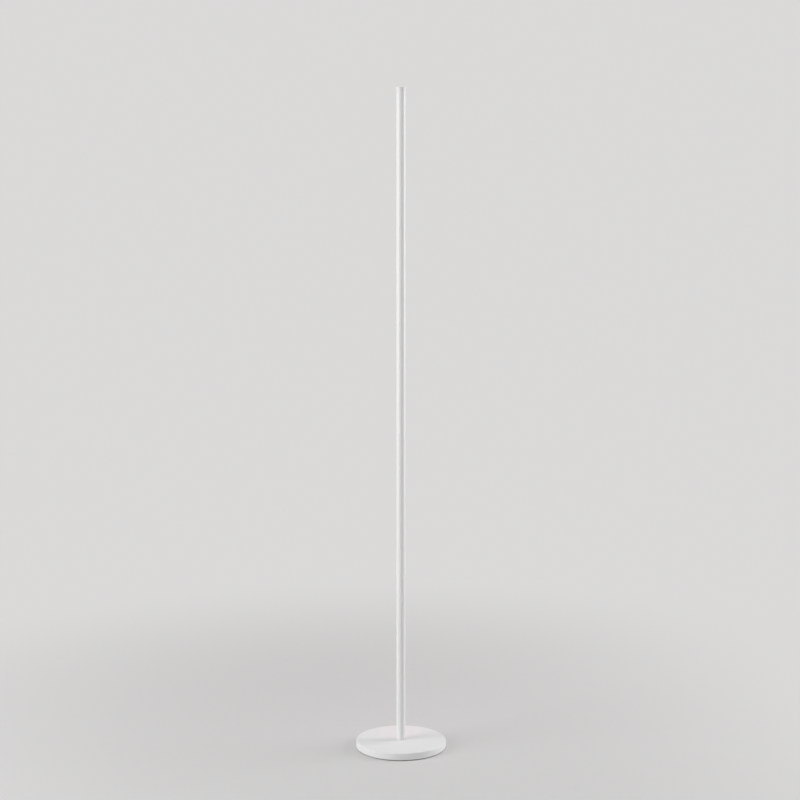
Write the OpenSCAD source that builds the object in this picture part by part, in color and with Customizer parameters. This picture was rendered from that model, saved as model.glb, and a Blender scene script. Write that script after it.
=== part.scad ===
// Corner floor lamp: a slim extruded pole on a weighted round base, lit from a channel in its rear.
// Millimetres, +Z up. The origin is on the floor at the pole's axis.
// The light channel, the power inlet and the button face the wall, along +Y.

/* [Pole] */
// Overall height, from the floor to the top of the cap
lamp_h = 1460; // [1200:10:1700]
// Outer diameter of the pole
pole_d = 20; // [19:0.5:24]
// Wall of the pole's round part
pole_wall = 1.2; // [1:0.1:1.6]
// Width of the channel's mouth at the rear
mouth_w = 13; // [12:0.5:14]
// Thickness of the web that carries the light tape
web_t = 1.6; // [1.5:0.1:2]
// Distance from the pole's axis back to the tape's seat
seat_y = 2.8; // [2.4:0.1:3.2]
// Bore of the two screw ports inside the pole
port_bore_d = 2.5; // [2.3:0.1:2.7]
// Wall of the screw ports
port_wall = 0.85; // [0.7:0.05:1]
// Width of the slot that opens each port along its length
port_slot_w = 1.3; // [1:0.1:1.6]
// Angle of the ports below the pole's side
port_angle = 37; // [32:1:45]

/* [Splices and cap] */
// Length of the splice inside each joint of the pole
splice_l = 80; // [70:5:120]
// Distance of the near screws from the joint
splice_near = 12; // [10:1:15]
// Distance of the far screws from the joint
splice_far = 30; // [24:1:32]
// Height of the cap's visible head
cap_h = 10; // [6:1:16]
// Rounding of the cap's top edge
cap_round = 1; // [0.5:0.1:2]
// Length of the cap's plug
cap_plug_l = 12; // [8:1:20]
// Length of the cap's tongue in the light channel
tongue_l = 4; // [2:0.5:6]

/* [Light] */
// Thickness of the diffuser's curved face
lens_t = 1.7; // [1.4:0.1:1.8]
// Thickness of the diffuser's legs
leg_t = 1.1; // [0.9:0.1:1.2]
// How far the barbs reach behind the lips
barb_reach = 0.6; // [0.5:0.1:0.7]
// Width of the light tape
tape_w = 10; // [8:0.5:10]
// Thickness of the light tape
tape_t = 0.25; // [0.2:0.05:0.4]
// Distance between neighbouring light emitters
led_pitch = 16.6; // [16:0.2:34]
// Side of a light emitter
led_w = 5; // [4:0.5:5]
// Height of a light emitter
led_h = 1.6; // [1.2:0.1:1.8]
// Number of emitters that share one control chip
leds_per_chip = 6; // [3:1:12]

/* [Base cover] */
// Outer diameter of the base
base_d = 200; // [180:5:240]
// Height of the cover
cover_h = 16; // [16:0.5:22]
// Gap between the floor and the cover's rim
floor_gap = 1.5; // [1:0.1:3]
// Thickness of the cover's top
cover_t = 2; // [1.6:0.1:2.2]
// Thickness of the cover's rim
rim_t = 2.5; // [2:0.1:3]
// Rounding of the rim's upper edge
rim_round_top = 2; // [1:0.1:2.4]
// Rounding of the rim's lower edge
rim_round_low = 1.5; // [0.6:0.1:1.7]
// Inset of the six plate bosses from the rim's outside
plate_boss_inset = 12; // [11:0.5:15]
// Diameter of the plate bosses
plate_boss_d = 7; // [6:0.5:8]
// Distance of the weight's bosses from the axis
weight_boss_r = 60; // [58:0.5:64]
// Diameter of the weight's bosses
weight_boss_d = 9; // [7:0.5:10]

/* [Counterweight and plate] */
// Thickness of the counterweight
weight_t = 8; // [5:0.5:9]
// Inset of the counterweight's edge from the rim's outside
weight_inset = 7; // [5:0.5:8]
// Thickness of the bottom plate
plate_t = 1.5; // [1.2:0.1:1.6]
// Depth of the bottom plate inside the rim
plate_recess = 0.8; // [0.4:0.1:0.9]
// Radius of the plate's opening under the foot
plate_open_r = 36; // [34:0.5:42]
// Diameter of the rubber feet
pad_d = 16; // [12:1:16]
// Inset of the feet's centres from the rim's outside
pad_inset = 16; // [13:0.5:20]

/* [Foot of the pole] */
// Radius of the foot's flange
flange_r = 32; // [31:0.5:33]
// Thickness of the foot's flange
flange_t = 3.5; // [3.4:0.1:4]
// Radius of the circle of flange bolts
flange_bolt_r = 24; // [23.5:0.5:26]
// Nominal diameter of the flange bolts
flange_bolt_d = 5; // [4:0.5:5]
// Extra radius of the foot's boss around the pole
boss_extra = 6; // [4:0.5:6.5]
// Length of the spigot inside the pole
spigot_l = 60; // [40:5:80]

/* [Rear ports] */
// Width of the window in the rim
port_w = 40; // [36:1:44]
// Height of the window in the rim
port_h = 11; // [10.5:0.1:11]
// Depth of the port panel's face behind the rim's outside
port_depth = 2.8; // [2.6:0.1:3.2]
// Thickness of the port panel
panel_t = 2.8; // [2.4:0.1:3]
// Distance of the power inlet and of the button from the middle
port_x = 9; // [8:0.5:10]
// Bore of the power inlet
jack_bore_d = 6.3; // [5.8:0.1:6.4]
// Diameter of the power inlet's centre pin
jack_pin_d = 2; // [1.9:0.1:2.5]
// Depth of the power inlet's bore
jack_bore_l = 9.5; // [9:0.5:10]
// Depth of the pin's tip behind the inlet's mouth
jack_pin_recess = 2; // [1:0.5:3]
// Diameter of the power button
button_d = 7; // [5:0.5:8]
// How far the button stands out of the panel
button_proud = 1.6; // [1:0.1:1.8]
// Travel of the power button
press_travel = 0.5; // [0.3:0.1:0.8]

/* [Electronics] */
// Width of the control board
board_w = 60; // [58:1:62]
// Depth of the control board
board_l = 31; // [30:1:34]
// Thickness of the control board
board_t = 1.6; // [1.2:0.1:1.6]
// Inset of the board's rear edge from the rim's outside
board_inset = 9; // [8.8:0.1:10]
// Distance of the board's screws from its ends
board_screw_x = 4; // [3.5:0.5:5]
// Distance of the board's screws from its front and rear edges
board_screw_y = 4; // [3.5:0.5:5]
// Diameter of a wire of the tape's lead
wire_d = 1.3; // [1:0.1:1.5]
// Distance between the wires
wire_pitch = 2.5; // [2:0.1:2.6]
// Radius of the wires' bend
wire_bend = 3.5; // [3:0.1:4]

/* [Fits] */
// Gap between the pole's chamber and what slides into it
chamber_fit = 0.15; // [0.1:0.05:0.25]
// Gap around the screw ports
port_fit = 0.2; // [0.15:0.05:0.3]
// Gap at each side of the diffuser in the channel's mouth
lens_fit = 0.15; // [0.1:0.05:0.25]
// Gap between a screw's thread and its hole
thread_fit = 0.05; // [0.04:0.01:0.1]
// Gap around a screw in a clearance hole
screw_gap = 0.3; // [0.2:0.05:0.4]
// Gap around the pole in the cover, and around the plate and the panel
shell_gap = 0.2; // [0.15:0.05:0.3]
// Gap around a boss in the counterweight
boss_gap = 0.5; // [0.3:0.1:1]
// Gap between the button and its guides
button_gap = 0.2; // [0.1:0.05:0.3]

/* [Hidden] */
$fn = 64;
eps = 0.01;

// Heights
pole_top = lamp_h - cap_h;
cover_top = floor_gap + cover_h;
cover_under = cover_top - cover_t;
plate_z = floor_gap + plate_recess;
plate_top = plate_z + plate_t;
weight_z = cover_under - weight_t;
flange_z = weight_z - flange_t;
boss_drop = 2;
tube_z = cover_under - boss_drop;
tube_l = (pole_top - tube_z) / 3;
lower_joint = tube_z + tube_l;
upper_joint = tube_z + 2 * tube_l;

// Pole profile
pole_r = pole_d / 2;
bore_r = pole_r - pole_wall;
web_front = seat_y - web_t;
port_out_r = port_bore_d / 2 + port_wall;
port_sink = 0.3;
port_r = bore_r - port_out_r + port_sink;
port_places = [for (side = [0, 1]) side * 180 - port_angle + 2 * side * port_angle];

// Light channel
lens_r = pole_r - lens_t;
leg_out = mouth_w / 2 - lens_fit;
leg_in = leg_out - leg_t;
leg_end = seat_y + tape_t + 0.1;
barb_x = leg_out + barb_reach;
barb_top = sqrt(pow(bore_r - 0.12, 2) - barb_x * barb_x);
barb_rise = 1.2;
tape_inset = 8;
tape_z = tube_z + tape_inset;
tape_l = pole_top - tape_z - tape_inset;
led_start = 10;
led_count = floor((tape_l - led_start - led_w) / led_pitch) + 1;
led_well_d = led_w * 0.76;
led_well_h = 0.4;
chip_size = [3.9, 1.5, 4.9];

// Screws: [shank diameter, length with a flush head, head diameter, head height]
splice_screw = [2.5, 6, 4.7, 1.2];
port_screw = [port_bore_d - 2 * thread_fit, 28, 5, 2.4];
port_screw_sink = port_screw[3] + 0.6;
flange_bolt = [flange_bolt_d - 2 * thread_fit, 9, flange_bolt_d * 1.85, 2.6];
plate_screw = [2.9, 8, 5.6, 1.2];
weight_screw = [2.9, 6, 14, 1.6];
board_screw = [2.3, 5, 4.2, 1.3];

// Base
base_r = base_d / 2;
rim_in_r = base_r - rim_t;
plate_r = rim_in_r - shell_gap;
plate_boss_r = base_r - plate_boss_inset;
plate_bosses = [for (i = [0:5]) i * 60];
weight_r = base_r - weight_inset;
weight_bosses = [for (i = [0:3]) 45 + i * 90];
weight_boss_z = weight_z + 1;
boss_r = pole_r + boss_extra;
flange_bolts_at = [30, 150, 270];
pads_at = [for (i = [0:5]) 30 + i * 60];
pad_chamfer = 0.5;

// Rear ports
port_z = floor_gap + cover_h / 2;
panel_face = base_r - port_depth;
panel_back = panel_face - panel_t;
lip_reach = 3;
lip_t = 1.5;
lip_gap = 0.1;
jack_w = 9;
jack_h = 8.6;
jack_l = 10.5;
jack_nose_d = jack_bore_d + 1.7;
jack_mouth = panel_face - 0.2;
jack_floor = jack_mouth - jack_bore_l;
jack_back = panel_back - jack_l;
button_flange = [button_d + 2, 0.8];
button_seat = panel_back - 0.1;
button_front = panel_face + button_proud;
button_back = button_seat - button_flange[1];
switch_w = 6;
switch_l = 4;
switch_h = 3.8;
plunger_d = 3.5;

// Control board, with the pieces on it placed from its middle and its rear edge
board_back = base_r - board_inset;
board_front = board_back - board_l;
board_top = port_z - switch_h / 2;
board_holes = [
    for (side = [-1, 1], y = [board_front + board_screw_y, board_back - board_screw_y])
        [side * (board_w / 2 - board_screw_x), y]
];
board_boss_d = 5.5;
pocket_w = board_w + 8;
pocket_y = board_front - 12;
header_size = [12, 8, 7];
header_y = board_front + 0.5;
header_wall = 1;
plug_gap = 0.15;
plug_size = [
    header_size[0] - 2 * (header_wall + plug_gap),
    12,
    header_size[2] - 2 * (header_wall + plug_gap)
];
plug_y = header_y - 6;
lead_z = board_top + header_size[2] / 2;
lead_y = seat_y + tape_t + wire_d / 2 + 0.05;
lead_solder = 2.5;
slot_w = 12;
notch_w = 10;
notch_drop = 2.2;

// Places its children at each angle of a list, on a circle about the pole's axis.
module around(angles, radius) {
    for (a = angles)
        rotate([0, 0, a])
            translate([radius, 0, 0])
                children();
}

// A countersunk screw along +Z with its head's flat face at z 0, or the hole for it.
module countersunk(screw, gap = 0, extra = 0) {
    shank_r = screw[0] / 2 + gap;
    head_r = screw[2] / 2 + gap;
    union() {
        translate([0, 0, -extra])
            cylinder(r = head_r, h = extra + eps);
        cylinder(r1 = head_r, r2 = shank_r, h = screw[3]);
        cylinder(r = shank_r, h = screw[1] + extra);
    }
}

// A countersunk screw with its cross recess.
module countersunk_screw(screw, recess_w) {
    recess_l = screw[2] * 0.6;
    difference() {
        countersunk(screw);
        for (turn = [0, 90])
            rotate([0, 0, turn])
                translate([-recess_l / 2, -recess_w / 2, -eps])
                    cube([recess_l, recess_w, screw[3] * 0.6]);
    }
}

// A screw with a flat cylindrical head below z 0 and its shank above, with a cross recess.
module flat_head_screw(screw, recess_w) {
    recess_l = min(screw[2] * 0.6, 4);
    difference() {
        union() {
            translate([0, 0, -screw[3]])
                cylinder(d = screw[2], h = screw[3]);
            cylinder(d = screw[0], h = screw[1]);
        }
        for (turn = [0, 90])
            rotate([0, 0, turn])
                translate([-recess_l / 2, -recess_w / 2, -screw[3] - eps])
                    cube([recess_l, recess_w, screw[3] * 0.6]);
    }
}

// Where the pole's two screw ports run.
module at_ports() {
    for (a = port_places)
        rotate([0, 0, a])
            translate([port_r, 0])
                children();
}

// The extruded section: a round wall, a web across it, a channel behind the web and two screw ports.
module pole_profile() {
    difference() {
        union() {
            difference() {
                circle(r = pole_r);
                circle(r = bore_r);
                translate([-mouth_w / 2, seat_y])
                    square([mouth_w, pole_r]);
            }
            intersection() {
                circle(r = bore_r + pole_wall / 2);
                translate([-pole_r, web_front])
                    square([pole_d, web_t]);
            }
            at_ports()
                circle(r = port_out_r);
        }
        at_ports() {
            circle(d = port_bore_d);
            translate([-port_out_r - 1, -port_slot_w / 2])
                square([port_out_r + 1, port_slot_w]);
        }
    }
}

// The front chamber's section, made smaller by a gap, for what slides into the pole.
module chamber_profile(gap) {
    difference() {
        intersection() {
            circle(r = bore_r - gap);
            translate([-pole_r, -pole_r])
                square([pole_d, pole_r + web_front - gap]);
        }
        at_ports()
            circle(r = port_out_r + port_fit);
    }
}

// Where the splice screws of one joint enter from the tape's seat, pointing to the front.
module at_splice_screws(joint_z) {
    for (dz = [-splice_far, -splice_near, splice_near, splice_far])
        translate([0, seat_y, joint_z + dz])
            rotate([90, 0, 0])
                children();
}

module pole_section(from_z) {
    difference() {
        translate([0, 0, from_z])
            linear_extrude(height = tube_l)
                pole_profile();
        for (joint_z = [lower_joint, upper_joint])
            if (joint_z > from_z - eps && joint_z < from_z + tube_l + eps)
                at_splice_screws(joint_z)
                    countersunk(splice_screw, thread_fit, 1);
    }
}

module lower_tube() {
    color("white")
        pole_section(tube_z);
}

module middle_tube() {
    color("white")
        pole_section(lower_joint);
}

module upper_tube() {
    color("white")
        pole_section(upper_joint);
}

module splice(joint_z) {
    difference() {
        translate([0, 0, joint_z - splice_l / 2])
            linear_extrude(height = splice_l)
                chamber_profile(chamber_fit);
        at_splice_screws(joint_z)
            cylinder(d = splice_screw[0] + 2 * thread_fit, h = splice_screw[1] + 2);
    }
}

module lower_splice() {
    color("silver")
        splice(lower_joint);
}

module upper_splice() {
    color("silver")
        splice(upper_joint);
}

module splice_screws() {
    color("dimgray")
        for (joint_z = [lower_joint, upper_joint])
            at_splice_screws(joint_z)
                countersunk_screw(splice_screw, 0.6);
}

// The head closes the pole's end, the plug grips the chamber and the tongue blocks the channel.
module top_cap() {
    tongue_w = 2 * leg_in - 0.6;
    tongue_y = seat_y + 0.3;
    color("white")
        union() {
            translate([0, 0, pole_top])
                rotate_extrude()
                    difference() {
                        square([pole_r, cap_h]);
                        translate([pole_r - cap_round, cap_h - cap_round])
                            difference() {
                                square(cap_round + 1);
                                circle(r = cap_round);
                            }
                    }
            translate([0, 0, pole_top - cap_plug_l])
                linear_extrude(height = cap_plug_l + eps)
                    chamber_profile(chamber_fit);
            translate([0, 0, pole_top - tongue_l])
                linear_extrude(height = tongue_l + eps)
                    intersection() {
                        circle(r = lens_r - 0.3);
                        translate([-tongue_w / 2, tongue_y])
                            square([tongue_w, pole_r]);
                    }
        }
}

// The snap-in diffuser: a curved face flush with the pole, two legs and their barbs behind the lips.
module diffuser_profile() {
    difference() {
        union() {
            intersection() {
                circle(r = pole_r);
                translate([-leg_out, leg_end])
                    square([2 * leg_out, pole_r]);
            }
            polygon([
                [-leg_out, barb_top - barb_rise],
                [leg_out, barb_top - barb_rise],
                [barb_x, barb_top],
                [-barb_x, barb_top]
            ]);
        }
        intersection() {
            circle(r = lens_r);
            translate([-leg_in, 0])
                square([2 * leg_in, pole_r]);
        }
    }
}

module diffuser() {
    color("ivory")
        translate([0, 0, tube_z])
            linear_extrude(height = pole_top - tube_z)
                diffuser_profile();
}

module led_tape() {
    color("whitesmoke")
        translate([-tape_w / 2, seat_y, tape_z])
            cube([tape_w, tape_t, tape_l]);
}

function led_z(i) = tape_z + led_start + i * led_pitch;

module led_emitters() {
    color("lemonchiffon")
        for (i = [0:led_count - 1])
            translate([0, seat_y + tape_t, led_z(i)])
                rotate([-90, 0, 0])
                    difference() {
                        translate([-led_w / 2, -led_w / 2, 0])
                            cube([led_w, led_w, led_h]);
                        translate([0, 0, led_h - led_well_h])
                            cylinder(d = led_well_d, h = led_well_h + 1, $fn = 24);
                    }
}

module tape_control_chips() {
    color("black")
        for (i = [leds_per_chip - 1:leds_per_chip:led_count - 2])
            translate([0, seat_y + tape_t, led_z(i) + led_pitch / 2])
                translate([-chip_size[0] / 2, 0, -chip_size[2] / 2])
                    cube(chip_size);
}

// The foot: a flange bolted under the counterweight, a boss that the pole stands on and a spigot in it.
module pole_foot() {
    color("gray")
        difference() {
            union() {
                translate([0, 0, flange_z])
                    cylinder(r = flange_r, h = flange_t);
                translate([0, 0, weight_z - eps])
                    cylinder(r = boss_r, h = tube_z - weight_z + eps);
                translate([0, 0, tube_z - eps])
                    linear_extrude(height = spigot_l + eps)
                        chamber_profile(chamber_fit);
            }
            translate([-notch_w / 2, seat_y, lead_z - notch_drop])
                cube([notch_w, boss_r, tube_z - lead_z + notch_drop + 1]);
            translate([0, 0, flange_z - eps])
                at_ports() {
                    cylinder(d = port_screw[2] + 2 * screw_gap, h = port_screw_sink + eps);
                    cylinder(d = port_screw[0] + 2 * screw_gap, h = tube_z - flange_z + 2 * eps);
                }
            translate([0, 0, flange_z])
                around(flange_bolts_at, flange_bolt_r)
                    countersunk(flange_bolt, screw_gap, 1);
        }
}

module foot_port_screws() {
    color("silver")
        translate([0, 0, flange_z + port_screw_sink])
            at_ports()
                flat_head_screw(port_screw, 0.8);
}

module flange_bolts() {
    color("silver")
        translate([0, 0, flange_z])
            around(flange_bolts_at, flange_bolt_r)
                countersunk_screw(flange_bolt, 1.2);
}

// The cover's wall in section: a top and a rim with a rounded upper and lower outer edge.
module cover_section() {
    difference() {
        square([base_r, cover_h]);
        translate([-1, -1])
            square([rim_in_r + 1, cover_h - cover_t + 1]);
        translate([base_r - rim_round_top, cover_h - rim_round_top])
            difference() {
                square(rim_round_top + 1);
                circle(r = rim_round_top);
            }
        translate([base_r - rim_round_low, rim_round_low])
            mirror([0, 1])
                difference() {
                    square(rim_round_low + 1);
                    circle(r = rim_round_low);
                }
    }
}

// An upright slot shape along Y: straight sides and round ends.
module obround(w, h, l) {
    rotate([90, 0, 0])
        translate([0, 0, -l])
            union() {
                translate([-(w - h) / 2, -h / 2, 0])
                    cube([w - h, h, l]);
                for (side = [-1, 1])
                    translate([side * (w - h) / 2, 0, 0])
                        cylinder(d = h, h = l);
            }
}

module base_cover() {
    rib_x = port_w / 2 + lip_reach / 2;
    rib_t = 2;
    rib_front = board_back + 0.4;
    rib_y = sqrt(pow(rim_in_r - lip_gap - lip_t, 2) - pow(rib_x + rib_t / 2, 2)) - 0.1;
    color("white")
        difference() {
            union() {
                translate([0, 0, floor_gap])
                    rotate_extrude()
                        cover_section();
                around(plate_bosses, plate_boss_r)
                    translate([0, 0, plate_top])
                        cylinder(d = plate_boss_d, h = cover_under - plate_top + eps);
                around(weight_bosses, weight_boss_r)
                    translate([0, 0, weight_boss_z])
                        cylinder(d = weight_boss_d, h = cover_under - weight_boss_z + eps);
                for (at = board_holes)
                    translate([at[0], at[1], board_top])
                        cylinder(d = board_boss_d, h = cover_under - board_top + eps);
                for (side = [-1, 1])
                    translate([side * rib_x - rib_t / 2, rib_front, board_top])
                        cube([rib_t, rib_y - rib_front, cover_under - board_top + eps]);
            }
            translate([0, 0, cover_under - 1])
                cylinder(r = pole_r + shell_gap, h = cover_t + 2);
            around(plate_bosses, plate_boss_r)
                translate([0, 0, plate_top - 1])
                    cylinder(d = plate_screw[0] + 2 * thread_fit, h = plate_screw[1] + 1);
            around(weight_bosses, weight_boss_r)
                translate([0, 0, weight_boss_z - 1])
                    cylinder(d = weight_screw[0] + 2 * thread_fit, h = weight_screw[1] + 0.5);
            for (at = board_holes)
                translate([at[0], at[1], board_top - 1])
                    cylinder(d = board_screw[0] + 2 * thread_fit, h = board_screw[1] + 1);
            translate([0, rim_in_r - 5, port_z])
                obround(port_w, port_h, rim_t + 10);
        }
}

// The counterweight: a steel disc cut clear of the bosses, the foot, the lead and the control board.
module counterweight() {
    scallop_r = plate_boss_d / 2 + boss_gap + 0.5;
    color("slategray")
        difference() {
            translate([0, 0, weight_z])
                cylinder(r = weight_r, h = weight_t);
            translate([0, 0, weight_z - 1])
                cylinder(r = boss_r + boss_gap, h = weight_t + 2);
            translate([-slot_w / 2, 0, weight_z - 1])
                cube([slot_w, pocket_y + 1, weight_t + 2]);
            translate([-pocket_w / 2, pocket_y, weight_z - 1])
                cube([pocket_w, base_r, weight_t + 2]);
            around(plate_bosses, plate_boss_r)
                translate([0, 0, weight_z - 1]) {
                    cylinder(r = scallop_r, h = weight_t + 2);
                    translate([0, -scallop_r, 0])
                        cube([plate_boss_inset, 2 * scallop_r, weight_t + 2]);
                }
            around(weight_bosses, weight_boss_r)
                translate([0, 0, weight_z - 1])
                    cylinder(d = weight_boss_d + 2 * boss_gap, h = weight_t + 2);
            around(flange_bolts_at, flange_bolt_r)
                translate([0, 0, weight_z - 1])
                    cylinder(d = flange_bolt_d, h = weight_t + 2);
        }
}

module weight_screws() {
    color("silver")
        translate([0, 0, weight_z])
            around(weight_bosses, weight_boss_r)
                flat_head_screw(weight_screw, 0.9);
}

module bottom_plate() {
    color("gainsboro")
        difference() {
            translate([0, 0, plate_z])
                cylinder(r = plate_r, h = plate_t);
            translate([0, 0, plate_z - 1])
                cylinder(r = plate_open_r, h = plate_t + 2);
            translate([0, 0, plate_z])
                around(plate_bosses, plate_boss_r)
                    countersunk(plate_screw, screw_gap / 2, 1);
        }
}

module bottom_plate_screws() {
    color("silver")
        translate([0, 0, plate_z])
            around(plate_bosses, plate_boss_r)
                countersunk_screw(plate_screw, 0.7);
}

module rubber_feet() {
    color("dimgray")
        around(pads_at, base_r - pad_inset)
            union() {
                cylinder(d1 = pad_d - 2 * pad_chamfer, d2 = pad_d, h = pad_chamfer);
                translate([0, 0, pad_chamfer])
                    cylinder(d = pad_d, h = plate_z - pad_chamfer);
            }
}

// A panel set in the rim's window, with lips behind the rim at both ends.
module port_panel() {
    pad_w = port_w - 2 * shell_gap;
    pad_h = port_h - 2 * shell_gap;
    lip_out_r = rim_in_r - lip_gap;
    lip_x = port_w / 2 - lip_reach;
    color("white")
        difference() {
            union() {
                translate([0, panel_back, port_z])
                    obround(pad_w, pad_h, panel_t);
                intersection() {
                    translate([0, 0, port_z - port_h / 2])
                        difference() {
                            cylinder(r = lip_out_r, h = port_h);
                            translate([0, 0, -1])
                                cylinder(r = lip_out_r - lip_t, h = port_h + 2);
                        }
                    for (side = [0, 1])
                        mirror([side, 0, 0])
                            translate([lip_x, 0, 0])
                cube([2 * lip_reach, base_r, cover_top]);
                }
            }
            translate([-port_x, panel_back - 1, port_z])
                rotate([-90, 0, 0])
                    cylinder(d = jack_nose_d + 2 * shell_gap, h = panel_t + 2);
            translate([port_x, panel_back - 1, port_z])
                rotate([-90, 0, 0])
                    cylinder(d = button_d + 2 * button_gap, h = panel_t + 2);
        }
}

module dc_jack() {
    color("black")
        difference() {
            union() {
                translate([-port_x - jack_w / 2, jack_back, port_z - jack_h / 2])
                    cube([jack_w, jack_l, jack_h]);
                translate([-port_x, panel_back - eps, port_z])
                    rotate([-90, 0, 0])
                        cylinder(d = jack_nose_d, h = jack_mouth - panel_back + eps);
            }
            translate([-port_x, jack_floor, port_z])
                rotate([-90, 0, 0])
                    cylinder(d = jack_bore_d, h = jack_bore_l + 1);
        }
}

module dc_jack_pin() {
    pin_l = jack_bore_l - jack_pin_recess;
    tip = 0.4;
    color("gold")
        translate([-port_x, jack_floor, port_z])
            rotate([-90, 0, 0])
                union() {
                    cylinder(d = jack_pin_d, h = pin_l - tip);
                    translate([0, 0, pin_l - tip])
                        cylinder(d1 = jack_pin_d, d2 = jack_pin_d - 2 * tip, h = tip);
                }
}

// The button: a dished cap with a flange that stops it behind the panel.
module power_button() {
    dish = 0.3;
    dish_r = (pow(button_d / 2 - 0.6, 2) + dish * dish) / (2 * dish);
    color("lightgray")
        translate([port_x, 0, port_z])
            rotate([-90, 0, 0])
                difference() {
                    union() {
                        translate([0, 0, button_back])
                            cylinder(d = button_d, h = button_front - button_back);
                        translate([0, 0, button_back])
                            cylinder(d = button_flange[0], h = button_flange[1]);
                    }
                    translate([0, 0, button_front - dish + dish_r])
                        sphere(r = dish_r);
                }
}

module switch_plunger() {
    color("black")
        translate([port_x, board_back - 1, port_z])
            rotate([-90, 0, 0])
                cylinder(d = plunger_d, h = button_back - board_back + 1);
}

// The switch's body, with a well that its plunger slides in.
module tact_switch() {
    well_l = 1 + press_travel + button_gap;
    color("dimgray")
        difference() {
            translate([port_x - switch_w / 2, board_back - switch_l, board_top])
                cube([switch_w, switch_l, 2 * (port_z - board_top)]);
            translate([port_x, board_back - well_l, port_z])
                rotate([-90, 0, 0])
                    cylinder(d = plunger_d + 2 * button_gap, h = well_l + 1);
        }
}

module control_board() {
    notch_gap = 0.2;
    color("seagreen")
        difference() {
            translate([-board_w / 2, board_front, board_top - board_t])
                cube([board_w, board_l, board_t]);
            translate([-port_x - jack_w / 2 - notch_gap, jack_back - notch_gap, board_top - board_t - 1])
                cube([jack_w + 2 * notch_gap, board_l, board_t + 2]);
            for (at = board_holes)
                translate([at[0], at[1], board_top - board_t - 1])
                    cylinder(d = board_screw[0] + 2 * screw_gap, h = board_t + 2);
        }
}

module board_screws() {
    color("silver")
        for (at = board_holes)
            translate([at[0], at[1], board_top - board_t])
                flat_head_screw(board_screw, 0.6);
}

// Puts its children on the board's upper face, from the board's middle and its rear edge.
module on_board(x, from_back) {
    translate([x, board_back - from_back, board_top])
        children();
}

module radio_module() {
    size = [18, 12, 0.8];
    can = [11, 9.6, 2.2];
    can_edge = 1.2;
    color("darkgreen")
        on_board(board_w / 2 - 21, 23)
            union() {
                cube(size);
                translate([size[0] - can[0] - can_edge, can_edge, size[2] - eps])
                    cube(can);
            }
}

module board_capacitors() {
    can_d = 6.3;
    can_h = 5.8;
    base_w = 6.6;
    base_h = 0.8;
    color("silver")
        for (inset = [10, 18])
            on_board(inset - board_w / 2, 13)
                union() {
                    translate([-base_w / 2, -base_w / 2, 0])
                        cube([base_w, base_w, base_h]);
                    cylinder(d = can_d, h = can_h);
                }
}

module board_coil() {
    side = 7;
    coil_h = 4;
    well_d = 5;
    well_h = 0.6;
    color("darkslategray")
        on_board(15.5 - board_w / 2, 25)
            difference() {
                translate([-side / 2, -side / 2, 0])
                    cube([side, side, coil_h]);
                translate([0, 0, coil_h - well_h])
                    cylinder(d = well_d, h = well_h + 1);
            }
}

// The controller in the middle, the transistor at one side and the receiver at the other.
module board_chips() {
    color("black") {
        on_board(-3, 18)
            cube([7, 7, 1]);
        on_board(2.5 - board_w / 2, 23.5)
            cube([6.5, 6, 2.3]);
        on_board(board_w / 2 - 16, 29)
            cube([5, 4, 1.4]);
    }
}

module board_header() {
    inner_w = header_size[0] - 2 * header_wall;
    inner_h = header_size[2] - 2 * header_wall;
    color("white")
        difference() {
            translate([-header_size[0] / 2, header_y, board_top])
                cube(header_size);
            translate([-inner_w / 2, header_y - 1, board_top + header_wall])
                cube([inner_w, header_size[1] - header_wall + 1, inner_h]);
        }
}

module lead_plug() {
    color("white")
        translate([-plug_size[0] / 2, plug_y, lead_z - plug_size[2] / 2])
            cube(plug_size);
}

// Three wires: down the light channel from the tape, round a bend and back through the counterweight.
module tape_lead() {
    wire_r = wire_d / 2;
    bend_z = lead_z + wire_bend;
    color("white")
        for (x = [-wire_pitch, 0, wire_pitch])
            translate([x, lead_y, 0])
                union() {
                    translate([0, 0, bend_z])
                        cylinder(r = wire_r, h = tape_z + lead_solder - bend_z);
                    translate([0, wire_bend, bend_z])
                        rotate([90, 0, 90])
                            rotate([0, 0, 180])
                                rotate_extrude(angle = 90)
                                    translate([wire_bend, 0])
                                        circle(r = wire_r);
                    translate([0, wire_bend, lead_z])
                        rotate([-90, 0, 0])
                            cylinder(r = wire_r, h = plug_y - lead_y - wire_bend);
                }
}

lower_tube();
middle_tube();
upper_tube();
lower_splice();
upper_splice();
splice_screws();
top_cap();
diffuser();
led_tape();
led_emitters();
tape_control_chips();
pole_foot();
foot_port_screws();
flange_bolts();
base_cover();
counterweight();
weight_screws();
bottom_plate();
bottom_plate_screws();
rubber_feet();
port_panel();
dc_jack();
dc_jack_pin();
power_button();
switch_plunger();
tact_switch();
control_board();
board_screws();
radio_module();
board_capacitors();
board_coil();
board_chips();
board_header();
lead_plug();
tape_lead();
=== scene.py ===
"""The looks of a corner floor lamp: finer pieces and their finishes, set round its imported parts.

Shapes are made in millimetres in the lamp's own frame, and turned to metres as each piece is finished.
"""
from functools import reduce
from itertools import product
import math

import bmesh
import bpy
from mathutils import Matrix, Vector


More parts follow.
